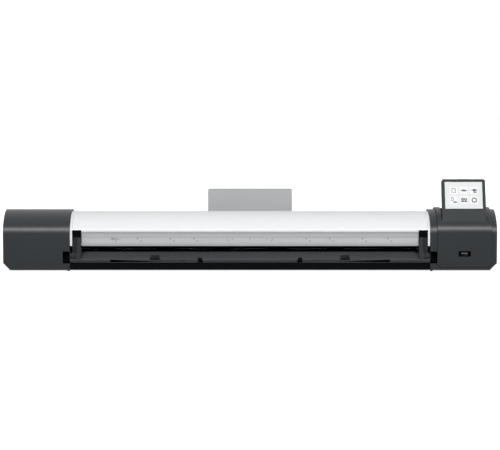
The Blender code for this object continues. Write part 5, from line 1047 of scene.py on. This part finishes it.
left, middle, right = COLUMNS
upper, lower = ROWS
symbols = [page(left, upper, 3.9, 4.3, 0.9)]
symbols += device(middle, upper, 6.0, 1.8)
symbols.append(rod("plug", "Y", ((right + 0.4) * MM, (upper + 0.5) * MM), 2.6 * MM, -4.9 * MM, -4.7 * MM))
for x, z, half_x, half_z in ((-3.2, 0.5, 2.4, 0.7), (4.2, 1.5, 1.8, 0.6), (4.2, -0.6, 1.8, 0.6),
                             (1.8, -3.6, 2.8, 1.1)):
    symbols.append(slab(box_outline(right + x, upper + z, half_x, half_z), -4.9, -4.7))
symbols += [page(left - 2.8, lower + 2.2, 2.6, 3.2, 0.8)] + device(left + 2.2, lower - 3.8, 4.4, 1.3)
for side in (-1, 1):
    symbols.append(ring(middle + side * 2.8, lower + 1.4, 3.0, 1.0))
    symbols.append(slab(box_outline(middle + side * 3.1, lower - 3.0, 2.7, 1.1), -4.9, -4.7))
symbols.append(ring(right, lower, 4.6, 3.0, 36))
for number in range(8):
    turn = 2 * pi * number / 8
    symbols.append(slab(box_outline(right + 5.0 * cos(turn), lower + 5.0 * sin(turn), 0.7, 0.7), -4.9, -4.7))
place(leaned(fused("screen_symbols", symbols)), icon_grey, "display", "screen")

# %% [markdown]
# ## The return guide
# A grey plate behind the lid turns each sheet back to the front. It is folded once low down, its free edges are
# rolled, a thin dark border round its face is painted shade for those edges, and two shallow flutes keep it stiff.

# %% Return guide
RETURN_FRONT = PAN_BACK + 0.3
guide = bar("guide_plate", "X", -81.5 * MM, 81.5 * MM,
            metres([(RETURN_FRONT, 6), (RETURN_FRONT, 18.6), (RETURN_FRONT + 15.7, 34.6),
                    (RETURN_FRONT + 15.7, 139.2),
                    (RETURN_FRONT + 17.9, 139.2), (RETURN_FRONT + 17.9, 33.7), (RETURN_FRONT + 2.2,
                                                                                17.7), (RETURN_FRONT + 2.2, 6)]))
make_active(guide)
bpy.ops.object.mode_set(mode="EDIT")
pick("EDGE", lambda middle, along: abs(along.y) > 0.9 and middle.z > FLOOR + 139 * MM)
bpy.ops.mesh.bevel(offset=3 * MM, segments=6)
bpy.ops.object.mode_set(mode="OBJECT")
for x in (-60, 60):
    flute = block("flute", ((x - 1.5) * MM, *side_point(RETURN_FRONT + 17.2, 48)),
                  ((x + 1.5) * MM, *side_point(RETURN_FRONT + 20, 128)))
    combine(guide, "DIFFERENCE", flute)
round_edges(guide, 0.0006)
place(guide, guide_grey, "base", "guide_grey", "return_guide")

# Painted shade: a thin dark border on the guide's face, for the shade on its rolled edges.
edge_shade_border = block("guide_shade_border", (-81.5 * MM, *side_point(RETURN_FRONT + 15.4, 60)),
             (81.5 * MM, *side_point(RETURN_FRONT + 15.75, 139.2)))
inside = block("inside", (-80.7 * MM, *side_point(RETURN_FRONT + 14, 56)),
               (80.7 * MM, *side_point(RETURN_FRONT + 17, 138.4)))
for part, cut in ((edge_shade_border, 3.0), (inside, 2.4)):
    make_active(part)
    bpy.ops.object.mode_set(mode="EDIT")
    pick("EDGE", lambda middle, along: abs(along.y) > 0.9 and middle.z > FLOOR + 138 * MM)
    bpy.ops.mesh.bevel(offset=cut * MM, segments=6)
    bpy.ops.object.mode_set(mode="OBJECT")
combine(edge_shade_border, "DIFFERENCE", inside)
smooth(edge_shade_border)
place(edge_shade_border, border_shade_grey, "base", "guide_grey")

# %% [markdown]
# ## The back
# Behind the lid a curved grey cover closes the machine between the housings. It starts at the lid's hinge, so its
# upper edge follows the hinge's round, and it is drawn as a closed bar, out along its face and back along its inside.

# %% Rear cover with its vents
COVER_ROLL = BACK_ROLL - INSET
cover_corner = (APEX + (BACK_ROLL - BACK_CORNER) * sin(radians(BACK_ANGLE)),
                HOUSING_TOP - BACK_ROLL + (BACK_ROLL - BACK_CORNER) * cos(radians(BACK_ANGLE)))
start = radians(35.0)
rear = bar("rear_shell", "X", -(MOUTH - 0.3 * MM), MOUTH - 0.3 * MM,
           metres([(DEPTH - 6.0, 44.1), (DEPTH - 3.5, 44.1), (DEPTH - 3.5, cover_corner[1]),
                   (*cover_corner, 90 - BACK_ANGLE, 14),
                   (APEX, HOUSING_TOP - BACK_ROLL, BACK_ANGLE - 35.0, 2),
                   (APEX + (COVER_ROLL - 2.5) * sin(start), HOUSING_TOP - BACK_ROLL + (COVER_ROLL - 2.5) * cos(start)),
                   (APEX, HOUSING_TOP - BACK_ROLL, 35.0 - BACK_ANGLE, 2), (*cover_corner, BACK_ANGLE - 90, 14)]))
barrel_room = rod("barrel_room", "X", side_point(*HINGE), 8.4 * MM, -MOUTH, MOUTH, 48)
combine(rear, "DIFFERENCE", barrel_room)
vent = block("vent", (-1.1 * MM, *side_point(DEPTH - 12, 52)), (1.1 * MM, *side_point(DEPTH + 6, 68)))
for number in range(24):
    for side in (-1, 1):
        copy = vent.copy()
        copy.data = vent.data.copy()
        bpy.context.scene.collection.objects.link(copy)
        copy.location.x = side * (120 + number * 7.5) * MM
        make_active(copy)
        bpy.ops.object.transform_apply(location=True, rotation=True, scale=True)
        combine(rear, "DIFFERENCE", copy)
bpy.data.objects.remove(vent, do_unlink=True)
round_edges(rear, 0.0005, 2)
place(rear, housing_grey, "base", "housing", "rear_cover")

# %% [markdown]
# The exit table carries the sheet out between the last roller and the return guide. Low ribs run the way the paper
# goes, so that the sheet slides and doesn't cling.

# %% Exit table
table_low, table_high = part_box("exit_table")
table = block("exit_table_plate", tuple(table_low), tuple(table_high))
ribs = []
for number in range(-10, 11):
    x = number * 31 * MM
    ribs.append(block("rib", (x - 0.9 * MM, table_low.y + 1.2 * MM, table_high.z - 0.4 * MM),
                      (x + 0.9 * MM, table_high.y - 1.2 * MM, table_high.z + 0.5 * MM)))
combine(table, "UNION", *ribs)
round_edges(table, 0.0003, 2)
place(table, tray_grey, "base", slot_of["exit_table"], "exit_table")

# %% [markdown]
# The connectors sit on a small steel panel behind a window in the right housing: a three-pin inlet, a network
# socket, a square USB socket and the power button. Each shroud is a frame with its cavity cut, so it looks hollow.

# %% Panel and sockets
PANEL_LOW, PANEL_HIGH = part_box("connector_panel")
panel_plate = block("rear_panel_plate", tuple(PANEL_LOW), tuple(PANEL_HIGH))
for x, z in ((4.5, 4.5), (4.5, -4.5), (-4.5, 4.5), (-4.5, -4.5)):
    place_x = (PANEL_LOW.x if x > 0 else PANEL_HIGH.x) + x * MM
    place_z = (PANEL_LOW.z if z > 0 else PANEL_HIGH.z) + z * MM
    combine(panel_plate, "DIFFERENCE", rod("screw_hole", "Y", (place_x, place_z), 1.5 * MM, PANEL_LOW.y - MM,
                                           PANEL_HIGH.y + MM, 24))
for node in ("power_inlet", "network_port", "rear_usb_port", "power_button"):
    low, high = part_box(node)
    combine(panel_plate, "DIFFERENCE", block("opening", (low.x + 0.8 * MM, PANEL_LOW.y - MM, low.z + 0.8 * MM),
                                             (high.x - 0.8 * MM, PANEL_HIGH.y + MM, high.z - 0.8 * MM)))
round_edges(panel_plate, 0.0002, 2)
place(panel_plate, steel, "base", slot_of["connector_panel"], "connector_panel")


def shroud(name, node, finish, wall, deep, chamfer=0.0):
    """A socket's frame: the node's box with its cavity cut from the back, and its upper corners cut off if asked."""
    low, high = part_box(node)
    made = block(name, tuple(low), tuple(high))
    inside = block("inside", (low.x + wall * MM, high.y - deep * MM, low.z + wall * MM),
                   (high.x - wall * MM, high.y + MM, high.z - wall * MM))
    combine(made, "DIFFERENCE", inside)
    if chamfer:
        make_active(made)
        bpy.ops.object.mode_set(mode="EDIT")
        pick("EDGE", lambda middle, along: abs(along.y) > 0.9 and middle.z > high.z - MM and not low.x + 1.2 * MM < middle.x < high.x - 1.2 * MM)
        bpy.ops.mesh.bevel(offset=chamfer * MM, segments=1)
        bpy.ops.object.mode_set(mode="OBJECT")
    round_edges(made, 0.0003, 2)
    place(made, finish, "base", slot_of[node], node)
    return low, high, high.y - deep * MM


low, high, floor_y = shroud("inlet_shroud", "power_inlet", near_black_and_shade, 1.8, 12.0, 3.0)
pins = []
for number in (-1, 0, 1):
    x, z = (low.x + high.x) / 2 + number * 7 * MM, (low.z + high.z) / 2 + (1.5 * MM if number == 0 else -1.5 * MM)
    pins.append(block("inlet_pin", (x - MM, floor_y - MM, z - 2 * MM), (x + MM, floor_y + 9 * MM, z + 2 * MM)))
inlet_pins = fused("inlet_pins", pins)
round_edges(inlet_pins, 0.0003, 2)
place(inlet_pins, brass, "base", slot_of["power_inlet"])

low, high, floor_y = shroud("network_shroud", "network_port", steel, 1.6, 11.0)
contacts = []
for number in range(8):
    x = (low.x + high.x) / 2 + (number - 3.5) * 1.02 * MM
    contacts.append(block("contact", (x - 0.2 * MM, floor_y - 0.5 * MM, high.z - 3.4 * MM),
                          (x + 0.2 * MM, high.y - 3 * MM, high.z - 3.0 * MM)))
place(fused("network_contacts", contacts), brass, "base", slot_of["network_port"])

low, high, floor_y = shroud("rear_usb_shroud", "rear_usb_port", steel, 1.4, 8.5, 1.4)
rear_tongue = block("rear_usb_tongue", ((low.x + high.x) / 2 - 2.8 * MM, floor_y - 0.5 * MM,
                                        (low.z + high.z) / 2 - 1.5 * MM),
                    ((low.x + high.x) / 2 + 2.8 * MM, high.y - 1.5 * MM, (low.z + high.z) / 2 + 1.5 * MM))
round_edges(rear_tongue, 0.0003, 2)
place(rear_tongue, near_black_and_shade, "base", slot_of["rear_usb_port"])

# %% [markdown]
# The power button is a round cap with a dished face, so that a finger finds its middle, and a raised ring stands
# round it.

# %% Power button
low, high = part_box("power_button")
centre = ((low.x + high.x) / 2, (low.z + high.z) / 2)
reach = (high.x - low.x) / 2
cap = rod("button_cap", "Y", centre, reach, low.y, high.y, 48)
make_active(cap)
bpy.ops.object.mode_set(mode="EDIT")
pick("FACE", lambda middle, normal: normal.y > 0.9)
bpy.ops.mesh.inset(thickness=0.25 * reach, depth=0)
bpy.ops.mesh.inset(thickness=0.30 * reach, depth=-0.35 * MM)
bpy.ops.object.mode_set(mode="OBJECT")
round_edges(cap, 0.0004)
place(cap, near_black_and_shade, "button", slot_of["power_button"], "power_button")

# %% [markdown]
# ## Feet and screws
# Two rubber strips run under the housings. Grooves across them let the rubber grip. The screws that hold the pan
# are modelled once, with a cross recess, and copied into their seats.

# %% Feet
for side, word in ((-1, "left"), (1, "right")):
    low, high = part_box(f"foot_strip_{word}")
    strip_foot = block(f"foot_{word}", tuple(low), tuple(high))
    cuts = [block("foot_groove", (low.x - MM, low.y + share * (high.y - low.y) - 0.8 * MM, low.z - MM),
                  (high.x + MM, low.y + share * (high.y - low.y) + 0.8 * MM, low.z + 0.7 * MM)) for share in (0.1,
                                                                                                              0.2, 0.3, 0.4, 0.5, 0.6, 0.7, 0.8, 0.9)]
    combine(strip_foot, "DIFFERENCE", *cuts)
    round_edges(strip_foot, 0.0004, 2)
    place(strip_foot, rubber, "base", "rubber", f"foot_strip_{word}")


# %% Screws
def screw(name, centre, radius, axis, face, proud):
    """A domed head with a cross cut in it; axis is Y or Z, and proud is negative when it faces -axis."""
    low, high = span(face, face + proud)
    head = rod(name, axis, centre, radius, low, high, 24)
    long, short = 1.2 * radius, 0.16 * radius
    tip = face + proud
    for across, up in ((long, short), (short, long)):
        near, far = span(tip - 0.45 * proud, tip + proud)
        if axis == "Y":
            cross = block("cross", (centre[0] - across / 1.6, near, centre[1] - up / 1.6),
                          (centre[0] + across / 1.6, far, centre[1] + up / 1.6))
        else:
            cross = block("cross", (centre[0] - across / 1.6, centre[1] - up / 1.6, near),
                          (centre[0] + across / 1.6, centre[1] + up / 1.6, far))
        combine(head, "DIFFERENCE", cross)
    return round_edges(head, 0.0003, 2)


pan_screws = [screw("pan_screw", (x * MM, FRONT + y * MM), 2.8 * MM, "Z", FLOOR + 0.9 * MM, -0.8 * MM)
              for x in range(-400, 401, 100) for y in (22, 140)]
place(fused("pan_screws", pan_screws), steel, "base", "steel")
panel_screws = []
for x, z in ((4.5, 4.5), (4.5, -4.5), (-4.5, 4.5), (-4.5, -4.5)):
    at_x = (PANEL_LOW.x if x > 0 else PANEL_HIGH.x) + x * MM
    at_z = (PANEL_LOW.z if z > 0 else PANEL_HIGH.z) + z * MM
    panel_screws.append(screw("panel_screw", (at_x, at_z), 2.2 * MM, "Y", PANEL_HIGH.y - 0.3 * MM, 0.9 * MM))
place(fused("panel_screws", panel_screws), steel, "base", "steel")

# %% [markdown]
# ## Light and backdrop
# Two soft lamps above the camera pick out the crease, a third behind lights the top, and the world fills the rest.
# The world's white is for the camera and for reflections, and it dims towards the front, as a studio does. The
# floor's own white is for the camera alone, so that it doesn't lift the dark fronts, and it keeps a shadow.

# %% Floor, world and lamps
ROOM = 0.24
clear_selection()
bpy.ops.mesh.primitive_plane_add(size=12, location=(0, 2.0, -0.0005))
floor = bpy.context.object
floor.name = "floor"
floor_finish = bpy.data.materials.new("floor_white")
floor_finish.use_nodes = True
nodes, links = floor_finish.node_tree.nodes, floor_finish.node_tree.links
nodes.clear()
output = nodes.new("ShaderNodeOutputMaterial")
paper = nodes.new("ShaderNodeBsdfDiffuse")
paper.inputs["Color"].default_value = (0.62, 0.62, 0.62, 1)
glow = nodes.new("ShaderNodeEmission")
glow.inputs["Color"].default_value = (1, 1, 1, 1)
glow.inputs["Strength"].default_value = 0.84
seen = nodes.new("ShaderNodeLightPath")
both = nodes.new("ShaderNodeAddShader")
links.new(paper.outputs["BSDF"], both.inputs[0])
links.new(glow.outputs["Emission"], both.inputs[1])
choose = nodes.new("ShaderNodeMixShader")
links.new(seen.outputs["Is Camera Ray"], choose.inputs["Fac"])
links.new(paper.outputs["BSDF"], choose.inputs[1])
links.new(both.outputs["Shader"], choose.inputs[2])
links.new(choose.outputs["Shader"], output.inputs["Surface"])
floor.data.materials.append(floor_finish)

world = bpy.data.worlds.new("studio")
bpy.context.scene.world = world
world.use_nodes = True
nodes, links = world.node_tree.nodes, world.node_tree.links
nodes.clear()
output = nodes.new("ShaderNodeOutputWorld")
seen = nodes.new("ShaderNodeLightPath")


def backdrop(strength):
    made = nodes.new("ShaderNodeBackground")
    made.inputs["Color"].default_value = (1, 1, 1, 1)
    made.inputs["Strength"].default_value = strength
    return made


def choose_by(ray, otherwise, chosen):
    """Shows one backdrop to one kind of ray, and the other to the rest."""
    made = nodes.new("ShaderNodeMixShader")
    links.new(seen.outputs[ray], made.inputs["Fac"])
    links.new(otherwise.outputs[0], made.inputs[1])
    links.new(chosen.outputs[0], made.inputs[2])
    return made


room, white, mirrored = backdrop(ROOM), backdrop(1.0), backdrop(1.0)
direction = nodes.new("ShaderNodeTexCoord")
apart = nodes.new("ShaderNodeSeparateXYZ")
fade = nodes.new("ShaderNodeMapRange")
for socket, value in (("From Min", -1.0), ("From Max", 0.25), ("To Min", 0.22), ("To Max", 1.0)):
    fade.inputs[socket].default_value = value
links.new(direction.outputs["Generated"], apart.inputs["Vector"])
links.new(apart.outputs["Y"], fade.inputs["Value"])
links.new(fade.outputs["Result"], mirrored.inputs["Strength"])
lit = choose_by("Is Glossy Ray", room, mirrored)
lit = choose_by("Is Transmission Ray", lit, white)
lit = choose_by("Is Camera Ray", lit, white)
links.new(lit.outputs[0], output.inputs["Surface"])


def lamp(name, location, aim, size, power):
    """A soft rectangular lamp that faces a point."""
    data = bpy.data.lights.new(name, "AREA")
    data.shape = "RECTANGLE"
    data.size, data.size_y = size
    data.energy = power
    made = bpy.data.objects.new(name, data)
    made.location = location
    made.rotation_euler = (Vector(aim) - Vector(location)).to_track_quat("-Z", "Y").to_euler()
    bpy.context.scene.collection.objects.link(made)
    return made


back = lamp("back_lamp", (0.0, 2.8, 0.7), (0, 0, 0.05), (2.0, 0.5), 26)
back.visible_camera = back.visible_glossy = False
for side, word in ((-1, "left"), (1, "right")):
    lamp(f"key_lamp_{word}", (side * 0.75, -2.72, 1.72), (side * 0.25, 0, 0.05), (0.65, 0.45), 43)
bpy.context.scene.view_settings.view_transform = "Standard"
